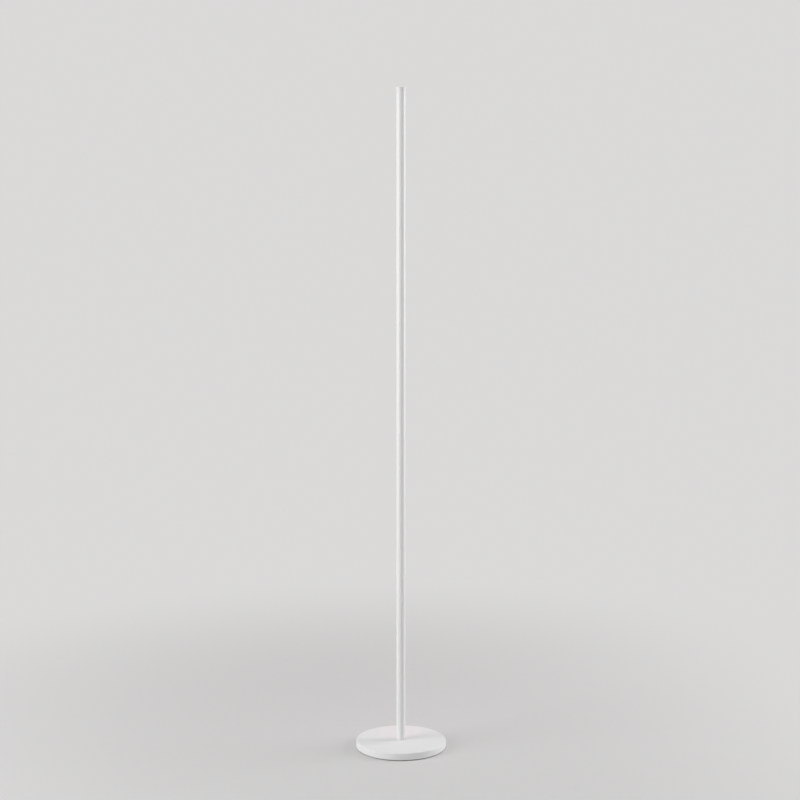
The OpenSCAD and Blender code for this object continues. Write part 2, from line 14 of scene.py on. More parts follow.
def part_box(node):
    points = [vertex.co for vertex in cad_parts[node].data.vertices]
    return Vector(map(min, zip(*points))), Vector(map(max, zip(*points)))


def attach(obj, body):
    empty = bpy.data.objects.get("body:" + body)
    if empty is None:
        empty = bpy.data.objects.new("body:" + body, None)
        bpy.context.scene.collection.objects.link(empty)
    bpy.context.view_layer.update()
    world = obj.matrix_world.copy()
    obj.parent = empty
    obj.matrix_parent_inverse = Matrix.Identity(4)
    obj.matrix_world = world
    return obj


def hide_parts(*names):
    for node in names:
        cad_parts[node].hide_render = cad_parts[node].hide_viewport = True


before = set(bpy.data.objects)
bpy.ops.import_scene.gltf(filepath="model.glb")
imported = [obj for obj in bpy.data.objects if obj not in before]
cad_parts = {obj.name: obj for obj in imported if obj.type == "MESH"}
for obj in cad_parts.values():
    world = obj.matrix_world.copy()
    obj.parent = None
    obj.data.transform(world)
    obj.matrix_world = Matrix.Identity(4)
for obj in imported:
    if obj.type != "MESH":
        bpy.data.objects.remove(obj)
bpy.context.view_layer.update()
MM = 0.001
CREASE = math.radians(35)


def span(node):
    """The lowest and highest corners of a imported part, in millimetres."""
    low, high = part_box(node)
    return low / MM, high / MM


def ends(node):
    """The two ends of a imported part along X, Y and Z, in millimetres."""
    return list(zip(*span(node)))


def heights(node):
    return ends(node)[2]


def within(pair, inset):
    """Two ends, each moved inwards."""
    return pair[0] + inset, pair[1] - inset


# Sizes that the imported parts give
POLE_R = span("lower_tube")[1].x
JOINTS = heights("middle_tube")
LAMP_TOP = heights("top_cap")[1]
(_, SEAT_Y, TAPE_LOW), (_, TAPE_BACK, TAPE_HIGH) = span("led_tape")
(_, LEG_END, POLE_FOOT), (BARB_OUT, _, POLE_TOP) = span("diffuser")
(_, _, COVER_LOW), (BASE_R, _, COVER_TOP) = span("base_cover")
(_, _, PLATE_LOW), (PLATE_R, _, PLATE_HIGH) = span("bottom_plate")
(_, _, FLANGE_LOW), (FLANGE_R, _, SPIGOT_TOP) = span("pole_foot")
WEIGHT_LOW, WEIGHT_HIGH = heights("counterweight")
BOARD_LOW, BOARD_HIGH = span("control_board")
PLUG_BACK = span("lead_plug")[0].y
PANEL_FACE = span("port_panel")[1].y
PANEL_MIDDLE = sum(heights("port_panel")) / 2
WIRE_LEVEL = sum(heights("lead_plug")) / 2

# Section of the pole
BORE_R = 8.8
WEB_FRONT = 1.2
MOUTH_HALF = 6.5
PORT_AT = -37
PORT_R = 7.0
PORT_OUT_R = 2.1
PORT_BORE_R = 1.25
PORT_SLOT_HALF = 0.65

# Section of the diffuser
LENS_R = 8.3
LEG_OUT = 6.35
LEG_IN = 5.25
BARB_TOP = 5.2
BARB_RISE = 1.2

# Light tape: emitters in groups, each with a control chip
WIRES = (-2.5, 0, 2.5)
LED_PITCH = 16.6
LED_START = TAPE_LOW + 10
GROUP = 6
GROUPS = 14

# Screws: shank diameter, length, head diameter, head height and width of the cross recess
SPLICE_SCREW = (2.5, 6, 4.7, 1.2, 0.6)
PORT_SCREW = (2.4, 28, 5, 2.4, 0.8)
FLANGE_BOLT = (4.9, 9, 9.25, 2.6, 1.2)
PLATE_SCREW = (2.9, 8, 5.6, 1.2, 0.7)
WEIGHT_SCREW = (2.9, 6, 14, 1.6, 0.9)
BOARD_SCREW = (2.3, 5, 4.2, 1.3, 0.6)

# Where screws and feet are: from a joint of the pole, or on circles of a count, a radius and a first angle
SPLICE_AT = (-30, -12, 12, 30)
PORT_SEAT = heights("foot_port_screws")[0] + PORT_SCREW[3]
PLATE_CIRCLE = (6, 88, 0)
WEIGHT_CIRCLE = (4, 60, 45)
FLANGE_CIRCLE = (3, 24, 30)
FEET_CIRCLE = (6, 84, 30)
BOARD_INSET = 4
BOARD_HOLES = list(product(*[within(pair, BOARD_INSET) for pair in ends("control_board")[:2]]))

# Base
COVER_UNDER = COVER_TOP - 2
RIM_R = BASE_R - 2.5
ROUND_TOP = 2.0
ROUND_LOW = 1.5
WINDOW = (40, 11)
WEIGHT_R = BASE_R - 7
BOSS_R = 16
FOOT_R = 8
PORT_X = 9
PANEL_THICK = 2.8


# Node trees

def operator(name):
    """A method that adds the node of an operation."""
    return lambda self, *others: self.maths(name, *others)


class Value:
    """A node's output. Arithmetic on it adds nodes."""

    def __init__(self, tree, socket):
        self.tree = tree
        self.socket = socket

    def maths(self, operation, *others):
        kind = "ShaderNodeVectorMath" if self.socket.type == "VECTOR" else "ShaderNodeMath"
        return self.tree.node(kind, dict(enumerate([self, *others])), operation=operation)

    def ramp(self, start, end):
        """0 below the start, 1 above the end and smooth between them."""
        inputs = {"Value": self, "From Min": start, "From Max": end}
        return self.tree.node("ShaderNodeMapRange", inputs, interpolation_type="SMOOTHSTEP")

    def outputs(self):
        """All the outputs of its node."""
        return [Value(self.tree, socket) for socket in self.socket.node.outputs]

    def __rsub__(self, other):
        return self * -1 + other

    __add__ = __radd__ = operator("ADD")
    __sub__ = operator("SUBTRACT")
    __mul__ = __rmul__ = operator("MULTIPLY")
    __truediv__ = operator("DIVIDE")
    __pow__ = operator("POWER")
    __mod__ = operator("FLOORED_MODULO")
    __abs__ = operator("ABSOLUTE")
    most = operator("MAXIMUM")


class Tree:
    """A node tree in the making, of a material, the world or geometry."""

    def __init__(self, tree):
        self.tree = tree
        tree.nodes.clear()

    def node(self, kind, inputs=None, output=None, stops=(), **settings):
        """Adds a node. Its settings are set first, then its sockets get their values or links."""
        made = self.tree.nodes.new(kind)
        for key, value in settings.items():
            setattr(made, key, value)
        if stops:
            self.set_stops(made.color_ramp.elements, stops)
        for key, value in (inputs or {}).items():
            self.feed(made.inputs[key] if isinstance(key, int) else self.pick(made.inputs, key), value)
        return Value(self, self.pick(made.outputs, output)) if made.outputs else None

    @staticmethod
    def set_stops(elements, stops):
        while len(elements) < len(stops):
            elements.new(1)
        for element, (place, colour) in zip(elements, stops):
            element.position = place
            element.color = (*colour, 1)

    @staticmethod
    def pick(sockets, name):
        """The first socket in use, or the first of a name."""
        return next(s for s in sockets if s.enabled and name in (None, s.name))

    def feed(self, socket, value):
        values = value if isinstance(value, list) else [value]
        if isinstance(values[0], Value):
            for one in values:
                self.tree.links.new(one.socket, socket)
        else:
            socket.default_value = (*value, 1) if socket.type == "RGBA" else value

    def mix(self, factor, a, b):
        """Colour a where the factor is 0 and colour b where it is 1."""
        return self.node("ShaderNodeMix", {"Factor": factor, "A": a, "B": b}, data_type="RGBA")

    def split(self, vector):
        return self.node("ShaderNodeSeparateXYZ", {"Vector": vector}).outputs()

    def upright(self, z):
        return self.node("ShaderNodeCombineXYZ", {"Z": z})


# Geometry nodes

SOCKETS = {int: "NodeSocketInt", float: "NodeSocketFloat", tuple: "NodeSocketVector"}
PLANS = {}


def extrude_plan(tree, outline, size):
    """A closed solid with the outline's section, from a height and for a length along Z."""
    curve = tree.node("GeometryNodeMeshToCurve", {"Mesh": outline})
    face = tree.node("GeometryNodeFillCurve", {"Curve": curve}, mode="NGONS")
    foot = {"Geometry": face, "Translation": tree.upright(size["Height"])}
    low = tree.node("GeometryNodeTransform", foot)
    offset = {"Mesh": low, "Offset": (0, 0, 1), "Offset Scale": size["Length"], "Individual": False}
    high = tree.node("GeometryNodeExtrudeMesh", offset, mode="FACES")
    under = tree.node("GeometryNodeFlipFaces", {"Mesh": low})
    whole = tree.node("GeometryNodeJoinGeometry", {"Geometry": [high, under]})
    return tree.node("GeometryNodeMergeByDistance", {"Geometry": whole, "Distance": 0.001})


def row_plan(tree, shape, size):
    """Copies of a shape in a straight row."""
    line = {"Count": size["Count"], "Start Location": size["Start"], "Offset": size["Step"]}
    points = tree.node("GeometryNodeMeshLine", line, mode="OFFSET")
    return tree.node("GeometryNodeInstanceOnPoints", {"Points": points, "Instance": shape})


def ring_plan(tree, shape, size):
    """Copies of a shape round the Z axis, each turned with its place."""
    turn = tree.node("GeometryNodeInputIndex") * (2 * math.pi) / size["Count"]
    turns = [tree.upright(z) for z in (turn, size["First turn"])]
    turn, first = (tree.node("FunctionNodeEulerToRotation", {"Euler": euler}) for euler in turns)
    points = tree.node("GeometryNodeMeshCircle", {"Vertices": size["Count"], "Radius": size["Radius"]})
    copies = {"Points": points, "Instance": shape, "Rotation": turn}
    ring = tree.node("GeometryNodeInstanceOnPoints", copies)
    return tree.node("GeometryNodeTransform", {"Geometry": ring, "Rotation": first})


def wire_plan(tree, path, size):
    """A round wire along a path."""
    curve = tree.node("GeometryNodeMeshToCurve", {"Mesh": path})
    circle = {"Resolution": size["Sides"], "Radius": size["Radius"]}
    section = tree.node("GeometryNodeCurvePrimitiveCircle", circle)
    tube = {"Curve": curve, "Profile Curve": section, "Fill Caps": True}
    return tree.node("GeometryNodeCurveToMesh", tube)


def make_group(plan, sizes):
    """The node group of a plan, with a named input for each size and one for the material."""
    group = bpy.data.node_groups.new(plan.__name__, "GeometryNodeTree")
    kinds = {name: SOCKETS[type(value)] for name, value in sizes.items()}
    kinds = {"Geometry": "NodeSocketGeometry", **kinds, "Material": "NodeSocketMaterial"}
    for name, kind in kinds.items():
        group.interface.new_socket(name, in_out="INPUT", socket_type=kind)
    group.interface.new_socket("Geometry", in_out="OUTPUT", socket_type="NodeSocketGeometry")
    tree = Tree(group)
    given = {value.socket.name: value for value in tree.node("NodeGroupInput").outputs()}
    solid = tree.node("GeometryNodeRealizeInstances", {"Geometry": plan(tree, given["Geometry"], given)})
    done = tree.node("GeometryNodeSetMaterial", {"Geometry": solid, "Material": given["Material"]})
    tree.node("NodeGroupOutput", {"Geometry": done})
    return group


def grow(plan, base, material, **sizes):
    """Runs a plan on a base mesh and returns a plain mesh. An underscore in a size's name is a space."""
    sizes = {key.replace("_", " "): value for key, value in sizes.items()}
    if plan not in PLANS:
        PLANS[plan] = make_group(plan, sizes)
    sizes["Material"] = material
    thing = at_work(base, "NODES", node_group=PLANS[plan])
    for item in PLANS[plan].interface.items_tree:
        if item.in_out == "INPUT" and item.name in sizes:
            thing.modifiers[0][item.identifier] = sizes[item.name]
    return take_mesh(thing)


def placed(name, data):
    """A new object in the scene."""
    thing = bpy.data.objects.new(name, data)
    bpy.context.scene.collection.objects.link(thing)
    return thing


def at_work(mesh, kind, **settings):
    """A working object with one modifier."""
    thing = placed("work", mesh)
    modifier = thing.modifiers.new("work", kind)
    for key, value in settings.items():
        setattr(modifier, key, value)
    return thing


def take_mesh(thing):
    """The evaluated mesh of a working object, which is then removed."""
    graph = bpy.context.evaluated_depsgraph_get()
    mesh = bpy.data.meshes.new_from_object(thing.evaluated_get(graph))
    bpy.data.objects.remove(thing)
    return mesh


# Shapes

def arc(radius, start, end, step=3.75, at=(0, 0)):
    """Points along an arc between two angles in degrees, at most a step apart."""
    count = max(1, math.ceil(abs(end - start) / step - 1e-9))
    turns = [math.radians(start + (end - start) * i / count) for i in range(count + 1)]
    return [(at[0] + radius * math.cos(t), at[1] + radius * math.sin(t)) for t in turns]


def polar(radius, degrees):
    return radius * math.cos(math.radians(degrees)), radius * math.sin(math.radians(degrees))


def about(middle, half):
    return middle - half, middle + half


def path(*parts):
    """Joins lists of points, and leaves out a point that repeats the one before it."""
    points = []
    for point in (p for part in parts for p in part):
        if not points or math.dist(points[-1], point) > 1e-4:
            points.append(point)
    if math.dist(points[0], points[-1]) < 1e-4:
        points.pop()
    return points


def mirrored(points):
    """The points reflected from right to left, in the opposite order."""
    return [(-x, y) for x, y in reversed(points)]


def angle_of(x, radius):
    """Angle at which a circle about the axis reaches a distance to the right."""
    return math.degrees(math.acos(x / radius))


def extruded(loops, low, high, material):
    """A bar between two heights, with the section of one or more closed outlines."""
    mesh = bpy.data.meshes.new("outline")
    points, edges = [], []
    for loop in loops:
        first = len(points)
        points += [(x, y, 0) for x, y in loop]
        edges += [(first + i, first + (i + 1) % len(loop)) for i in range(len(loop))]
    mesh.from_pydata(points, edges, [])
    return grow(extrude_plan, mesh, material, Height=low, Length=high - low)


def wire(points, radius, sides, material):
    """A round wire through points in space."""
    mesh = bpy.data.meshes.new("line")
    mesh.from_pydata(points, [(i, i + 1) for i in range(len(points) - 1)], [])
    return grow(wire_plan, mesh, material, Radius=radius, Sides=sides)


def started(mesh):
    work = bmesh.new()
    work.from_mesh(mesh)
    return work


def ended(work, mesh=None):
    mesh = mesh or bpy.data.meshes.new("shape")
    work.to_mesh(mesh)
    work.free()
    return mesh


def closed(work):
    """Ends a closed shape with its faces turned outwards."""
    bmesh.ops.recalc_face_normals(work, faces=work.faces)
    if work.calc_volume(signed=True) < 0:
        bmesh.ops.reverse_faces(work, faces=work.faces)
    return ended(work)


def loft(rings):
    """Skins rings of as many points each, and caps both ends."""
    work = bmesh.new()
    rows = [[work.verts.new(p) for p in ring] for ring in rings]
    for low, high in zip(rows, rows[1:]):
        for i in range(len(low)):
            j = (i + 1) % len(low)
            work.faces.new([low[i], low[j], high[j], high[i]])
    work.faces.new(list(reversed(rows[0])))
    work.faces.new(rows[-1])
    return closed(work)


def prism(outline, low, high, axis=2):
    """A flat outline carried along an axis from one level to another."""
    return loft([[(*p[:axis], level, *p[axis:]) for p in outline] for level in (low, high)])


def tapered(*sections):
    """A solid of rectangular sections, each from its half width, half depth and height."""
    return loft([[(-x, -y, z), (x, -y, z), (x, y, z), (-x, y, z)] for x, y, z in sections])


def lathe(outline, sides=96):
    """Turns a closed outline of (radius, height) points about Z. A point on the axis becomes a pole."""
    work = bmesh.new()
    turns = [2 * math.pi * i / sides for i in range(sides)]
    rows = []
    for radius, height in outline:
        if radius < 1e-6:
            rows.append([work.verts.new((0, 0, height))] * sides)
        else:
            ring = [(radius * math.cos(t), radius * math.sin(t), height) for t in turns]
            rows.append([work.verts.new(p) for p in ring])
    for low, high in zip(rows, rows[1:] + rows[:1]):
        for i in range(sides):
            j = (i + 1) % sides
            corners = list(dict.fromkeys([low[i], low[j], high[j], high[i]]))
            if len(corners) > 2:
                work.faces.new(corners)
    return closed(work)


def rim(radius, low, high, edge):
    """The side of a round plate, with both its edges broken if a width is given."""
    if not edge:
        return [(radius, low), (radius, high)]
    return [(radius - edge, low), (radius, low + edge), (radius, high - edge), (radius - edge, high)]


def drum(radius, low, high, edge=0.0, sides=48):
    """A cylinder about Z between two heights."""
    return lathe([(0, low), *rim(radius, low, high, edge), (0, high)], sides)


def disc(inner, outer, low, high, edge, sides):
    """A round plate with a round hole."""
    return lathe(rim(inner, high, low, -edge) + rim(outer, low, high, edge), sides)


def block(x, y, z, edge=0.0):
    """A box from its two ends along X, Y and Z, with its edges broken."""
    work = bmesh.new()
    bmesh.ops.create_cube(work, size=1)
    low, high = (Vector(ends) for ends in zip(x, y, z))
    work.transform(Matrix.Translation((low + high) / 2) @ Matrix.Diagonal((*(high - low), 1)))
    if edge:
        bmesh.ops.bevel(work, geom=work.edges, offset=edge, segments=2, profile=0.5, affect="EDGES")
    return closed(work)


def moved(mesh, place=(0, 0, 0), turn=(0, 0, 0)):
    """A copy of a mesh, turned about X, Y and Z in degrees and then moved."""
    spin = Matrix.Identity(4)
    for degrees, axis in zip(turn, "XYZ"):
        spin = Matrix.Rotation(math.radians(degrees), 4, axis) @ spin
    copy = mesh.copy()
    copy.transform(Matrix.Translation(place) @ spin)
    return copy


def rearward(mesh, x=0, y=0, z=0):
    """Lays a shape about Z down along +Y."""
    return moved(mesh, (x, y, z), (-90, 0, 0))


def at_port(mesh, x):
    return rearward(mesh, x, z=PANEL_MIDDLE)


def at_splices(mesh, low=POLE_FOOT, high=POLE_TOP):
    """Copies of a mesh at the splice screws between two heights, laid down along -Y."""
    places = [joint + at for joint in JOINTS for at in SPLICE_AT]
    return [moved(mesh, (0, SEAT_Y, z), (90, 0, 0)) for z in places if low < z < high]


def at_ports(mesh, z):
    """Copies of a mesh on the axes of the pole's two screw ports."""
    return [moved(mesh, (*polar(PORT_R, angle), z)) for angle in (PORT_AT, 180 - PORT_AT)]


def at_board(mesh, z):
    """Copies of a mesh where the control board's four screws are."""
    return [moved(mesh, (*at, z)) for at in BOARD_HOLES]


def at_ring(mesh, circle):
    """Copies of a mesh on a circle about the axis."""
    material = mesh.materials[0] if mesh.materials else None
    count, radius, first = circle
    sizes = {"Radius": float(radius), "First turn": math.radians(first)}
    return grow(ring_plan, mesh, material, Count=count, **sizes)


def joined(meshes):
    """Several meshes as one, each face with its own material."""
    work = bmesh.new()
    materials = []
    for mesh in meshes:
        first = len(work.faces)
        work.from_mesh(mesh)
        work.faces.ensure_lookup_table()
        materials += [material for material in mesh.materials if material not in materials]
        slots = [materials.index(material) for material in mesh.materials]
        for face in work.faces[first:]:
            face.material_index = slots[face.material_index] if slots else 0
    result = ended(work)
    for material in materials:
        result.materials.append(material)
    return result


def combined(mesh, tools, operation):
    other = placed("tool", joined(tools))
    result = take_mesh(at_work(mesh, "BOOLEAN", operation=operation, solver="EXACT", object=other))
    bpy.data.objects.remove(other)
    return result


def cut(mesh, *tools):
    """What is left when closed tools are cut away."""
    return combined(mesh, tools, "DIFFERENCE")


def united(mesh, *tools):
    return combined(mesh, tools, "UNION")


def ends_broken(mesh, low, high, width, segments, beyond=0.0):
    """Rounds the edges round both ends of an upright bar that are beyond a distance from its axis."""
    work = started(mesh)
    chosen = []
    for edge in work.edges:
        a, b = (corner.co for corner in edge.verts)
        at_end = any(abs(a.z - z) < 1e-3 and abs(b.z - z) < 1e-3 for z in (low, high))
        if at_end and min(a.xy.length, b.xy.length) >= beyond:
            chosen.append(edge)
    bmesh.ops.bevel(work, geom=chosen, offset=width, segments=segments, profile=0.5, affect="EDGES")
    return closed(work)


def painted(mesh, material):
    mesh.materials.clear()
    mesh.materials.append(material)
    return mesh


def piece(name, node, parts, body="lamp"):
    """Joins the meshes of each material to one finished piece in metres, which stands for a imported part.

    Smooth normals are weighed by the faces' areas, so that large faces stay flat beside small roundings.
    """
    mesh = joined([painted(one, material) for material, meshes in parts.items() for one in meshes])
    mesh.transform(Matrix.Scale(MM, 4))
    work = started(mesh)
    for face in work.faces:
        face.smooth = True
    for edge in work.edges:
        edge.smooth = len(edge.link_faces) == 2 and edge.calc_face_angle(0) < CREASE
    ended(work, mesh)
    mesh = take_mesh(at_work(mesh, "WEIGHTED_NORMAL", mode="FACE_AREA", keep_sharp=True))
    mesh.name = name
    thing = placed(name, mesh)
    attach(thing, body)
    painted(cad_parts[node].data, mesh.materials[0])
    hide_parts(node)


# Finishes

def shaded(colour, share):
    """A colour made lighter or darker by a share."""
    return tuple(min(1, c * share) for c in colour)


class Finish(Tree):
    """A material in the making."""

    def __init__(self, name):
        self.material = bpy.data.materials.new(name)
        self.material.use_nodes = True
        super().__init__(self.material.node_tree)
        self.place = self.node("ShaderNodeTexCoord", output="Object")

    def noise(self, grain, detail=2.0, place=None):
        """Noise from 0 to 1 whose lumps are about a grain across, in millimetres."""
        inputs = {"Vector": place or self.place, "Scale": 1 / (grain * MM), "Detail": detail}
        return self.node("ShaderNodeTexNoise", inputs)

    def tone(self, mask, colour, low, high):
        """A colour shaded by one share where the mask is 0 and by another where it is 1."""
        return self.mix(mask, shaded(colour, low), shaded(colour, high))

    def surface(self, tone, roughness, relief, depth, **others):
        """Ends the material. Its relief is a height of 0 to 1 and a depth in millimetres."""
        bump = self.node("ShaderNodeBump", {"Strength": 1.0, "Distance": depth * MM, "Height": relief})
        inputs = {"Base Color": tone, "Roughness": roughness, "Normal": bump}
        inputs |= {key.replace("_", " "): value for key, value in others.items()}
        self.node("ShaderNodeOutputMaterial", {"Surface": self.node("ShaderNodeBsdfPrincipled", inputs)})
        return self.material


def powder_coat(name, colour, grain=0.9, depth=0.004, roughness=0.36):
    """Sprayed and baked paint: a faint orange peel, and a tone that drifts a little along the piece."""
    f = Finish(name)
    peel = f.noise(grain, 1.5)
    relief = peel * 0.85 + f.noise(grain / 5, 1.0) * 0.15
    tone = f.tone(f.noise(90, 1.0), colour, 0.985, 1.012)
    return f.surface(tone, roughness + peel * 0.08, relief, depth)


def moulded(name, colour, grain=0.35, depth=0.006, roughness=0.45):
    """Injection-moulded plastic with a fine spark-eroded texture and slow flow marks."""
    f = Finish(name)
    texture = f.noise(grain)
    flow = f.noise(60)
    tone = f.tone(flow, colour, 0.98, 1.015)
    return f.surface(tone, roughness + flow * 0.05 + texture * 0.06, texture, depth)


def drawn_metal(name, colour):
    """Bare metal with fine lines along its length."""
    f = Finish(name)
    lines = f.noise(0.12, 3.0, f.place * (1.0, 1.0, 0.02))
    stain = f.noise(14, 3.0)
    tone = f.tone(stain, colour, 0.9, 1.06)
    return f.surface(tone, 0.3 + lines * 0.16 + stain * 0.05, lines, 0.004, Metallic=1.0)


def plated(name, colour):
    """Plating: bright, a little cloudy, with fine tool marks."""
    f = Finish(name)
    cloud = f.noise(1.6, 3.0)
    tone = f.tone(cloud, colour, 0.86, 1.1)
    return f.surface(tone, 0.24 + cloud * 0.16, f.noise(0.15), 0.004, Metallic=1.0)


def cast_metal(name, colour):
    """A casting, grainy all over and brighter where it is rubbed."""
    f = Finish(name)
    pits = f.node("ShaderNodeTexVoronoi", {"Vector": f.place, "Scale": 1 / (1.1 * MM)}).ramp(0.0, 0.35)
    rubbed = f.noise(9, 3.0)
    tone = f.tone(rubbed, colour, 0.85, 1.15)
    return f.surface(tone, 0.5 - rubbed * 0.14, f.noise(0.7, 4.0) * 0.7 + pits * 0.3, 0.05, Metallic=0.9)


def rubber(name, colour):
    """Matte moulded rubber with a light bloom."""
    f = Finish(name)
    bloom = f.noise(5, 3.0)
    return f.surface(f.tone(bloom, colour, 1, 1.35), 0.78 + bloom * 0.12, f.noise(0.25, 3.0), 0.02)


# The light's colours, from the foot of the pole to its top, as the eye names them
MAGENTA = (1.0, 0.13, 0.5)
ROSE = (1.0, 0.13, 0.3)
CORAL = (1.0, 0.2, 0.1)
ORANGE = (1.0, 0.33, 0.045)
AMBER = (1.0, 0.56, 0.07)
GLOW = [(0.0, MAGENTA), (0.22, MAGENTA), (0.38, ROSE), (0.53, CORAL), (0.68, ORANGE), (1.0, AMBER)]
BLACK = (0, 0, 0)


def opal(name):
    """The lit diffuser: its base colour is painted with the tint of its light, and its glow is a little
    brighter over each emitter and in the middle.
    """
    f = Finish(name)
    x, _, height = f.split(f.place)
    phase = ((height / MM - LED_START) / LED_PITCH + 0.5) % 1.0
    spot = (1 - abs(phase - 0.5) * 2).ramp(0.2, 1.0)
    middle = 1 - abs(x / MM / LEG_OUT).ramp(0.1, 1.15)
    haze = f.noise(0.5)
    share = (height / MM - TAPE_LOW) / (TAPE_HIGH - TAPE_LOW)
    tint = f.node("ShaderNodeValToRGB", {"Fac": share}, "Color", GLOW)
    level = 0.42 + middle * 0.36 + spot * middle * 0.12
    glow = f.mix(level, BLACK, f.mix(middle * 0.05, tint, (1, 1, 1)))
    # Painted light: the base colour is about half the glow's tint, where the opal plastic itself is white.
    tone = f.mix(0.5 + haze * 0.06, BLACK, tint)
    return f.surface(tone, 0.42 + haze * 0.08, haze, 0.004, Emission_Color=glow, Emission_Strength=1.0)


WHITE = (0.87, 0.87, 0.865)
POLE_PAINT = powder_coat("white_powder_coat", WHITE)
PLATE_PAINT = powder_coat("white_plate_paint", shaded(WHITE, 0.94))
WEIGHT_PAINT = powder_coat("black_weight_paint", (0.03, 0.032, 0.034), 0.8, 0.03, 0.5)
CAP_PLASTIC = moulded("white_cap_plastic", shaded(WHITE, 0.97))
COVER_PLASTIC = moulded("white_cover_plastic", shaded(WHITE, 0.99), 0.5, 0.008)
PANEL_PLASTIC = moulded("white_panel_plastic", shaded(WHITE, 0.96))
BUTTON_PLASTIC = moulded("grey_button_plastic", (0.74, 0.74, 0.735))
INLET_PLASTIC = moulded("black_inlet_plastic", (0.02, 0.02, 0.022), roughness=0.35)
SWITCH_PLASTIC = moulded("black_switch_plastic", (0.03, 0.03, 0.032))
TAPE_MASK = moulded("white_tape_mask", (0.84, 0.85, 0.83), roughness=0.35)
BOARD_MASK = moulded("green_solder_mask", (0.015, 0.14, 0.06), roughness=0.25)
TRACK_MASK = moulded("covered_tracks", (0.03, 0.21, 0.09), roughness=0.25)
EMITTER_CASE = moulded("emitter_case", (0.9, 0.89, 0.8), roughness=0.3)
PHOSPHOR = moulded("yellow_phosphor", (0.86, 0.66, 0.12), 0.1, roughness=0.3)
EPOXY = moulded("chip_epoxy", (0.025, 0.025, 0.027), 0.15, roughness=0.5)
GLAZE = moulded("black_glaze", (0.02, 0.02, 0.022), 0.1, roughness=0.3)
FERRITE = moulded("coil_ferrite", (0.06, 0.06, 0.065), roughness=0.55)
NYLON = moulded("connector_nylon", (0.82, 0.8, 0.72), roughness=0.4)
WIRE_JACKET = moulded("wire_insulation", (0.84, 0.84, 0.84), roughness=0.35)
STEEL = plated("zinc_plated_steel", (0.6, 0.61, 0.62))
CAN_METAL = plated("capacitor_can", (0.72, 0.73, 0.75))
BRASS = plated("brass_pin", (0.83, 0.66, 0.33))
COPPER = plated("bare_copper", (0.82, 0.43, 0.26))
GOLD = plated("gold_plating", (0.88, 0.68, 0.32))
TIN = plated("tin_plating", (0.76, 0.77, 0.78))
ALUMINIUM = drawn_metal("extruded_aluminium", (0.78, 0.79, 0.8))
CASTING = cast_metal("cast_foot_metal", (0.5, 0.51, 0.52))
RUBBER = rubber("black_foot_rubber", (0.035, 0.035, 0.036))
OPAL = opal("opal_diffuser")


# The pole

def chamber_loop(gap=0.0, port_gap=0.0):
    """The front chamber's outline: round, flat along the web, with a bite for each screw port.

    With gaps it is the section of a bar in the chamber. Without them it goes into the ports by their slots.
    """
    bore, port = BORE_R - gap, PORT_OUT_R + port_gap
    reach = math.degrees(math.acos((bore ** 2 + PORT_R ** 2 - port ** 2) / (2 * bore * PORT_R)))
    centre, end = polar(PORT_R, PORT_AT), polar(bore, PORT_AT + reach)
    local = math.degrees(math.atan2(end[1] - centre[1], end[0] - centre[0])) - PORT_AT
    if gap:
        bite = arc(port, PORT_AT + local, PORT_AT + 360 - local, 12, centre)
    else:
        out_gap, in_gap = (math.degrees(math.asin(PORT_SLOT_HALF / r)) for r in (port, PORT_BORE_R))
        bite = arc(port, PORT_AT + local, PORT_AT + 180 - out_gap, 12, centre)
        bite += arc(PORT_BORE_R, PORT_AT + 180 - in_gap, PORT_AT - 180 + in_gap, 15, centre)
        bite += arc(port, PORT_AT - 180 + out_gap, PORT_AT - local, 12, centre)
    top = math.degrees(math.asin((WEB_FRONT - gap) / bore))
    right = path(arc(bore, top, PORT_AT + reach), bite, arc(bore, PORT_AT - reach, -90))
    return path(right, mirrored(right))


def pole_loop():
    """The pole's outside, in at one lip, along the light channel and out at the other lip."""
    lip_out, lip_in = (angle_of(MOUTH_HALF, radius) for radius in (POLE_R, BORE_R))
    seat = math.degrees(math.asin(SEAT_Y / BORE_R))
    left_wall = arc(BORE_R, 180 - lip_in, 180 - seat)
    return path(arc(POLE_R, lip_out, -180 - lip_out), left_wall, mirrored(left_wall))


def make_tubes():
    hole = countersink(SPLICE_SCREW, 0.05, 7, 32)
    for part in ("lower", "middle", "upper"):
        low, high = heights(f"{part}_tube")
        tube = extruded([pole_loop(), chamber_loop()], low, high, POLE_PAINT)
        tube = ends_broken(tube, low, high, 0.15, 2, POLE_R - 0.01)
        tube = cut(tube, *at_splices(hole, low, high))
        piece(f"pole_{part}_length", f"{part}_tube", {POLE_PAINT: [tube]})


def make_diffuser():
    """A curved face, two legs and the barbs at their sides."""
    right = [(LEG_IN, LEG_END), (LEG_OUT, LEG_END), (LEG_OUT, BARB_TOP - BARB_RISE), (BARB_OUT, BARB_TOP)]
    right += [(LEG_OUT, BARB_TOP)] + arc(POLE_R, angle_of(LEG_OUT, POLE_R), 90)
    inner = arc(LENS_R, 90, angle_of(LEG_IN, LENS_R))
    outline = path(right, mirrored(right), mirrored(inner), inner)
    bar = extruded([outline], POLE_FOOT, POLE_TOP, OPAL)
    piece("light_diffuser", "diffuser", {OPAL: [bar]})


def chamber_bar(low, high, material):
    return extruded([chamber_loop(0.15, 0.2)], low, high, material)


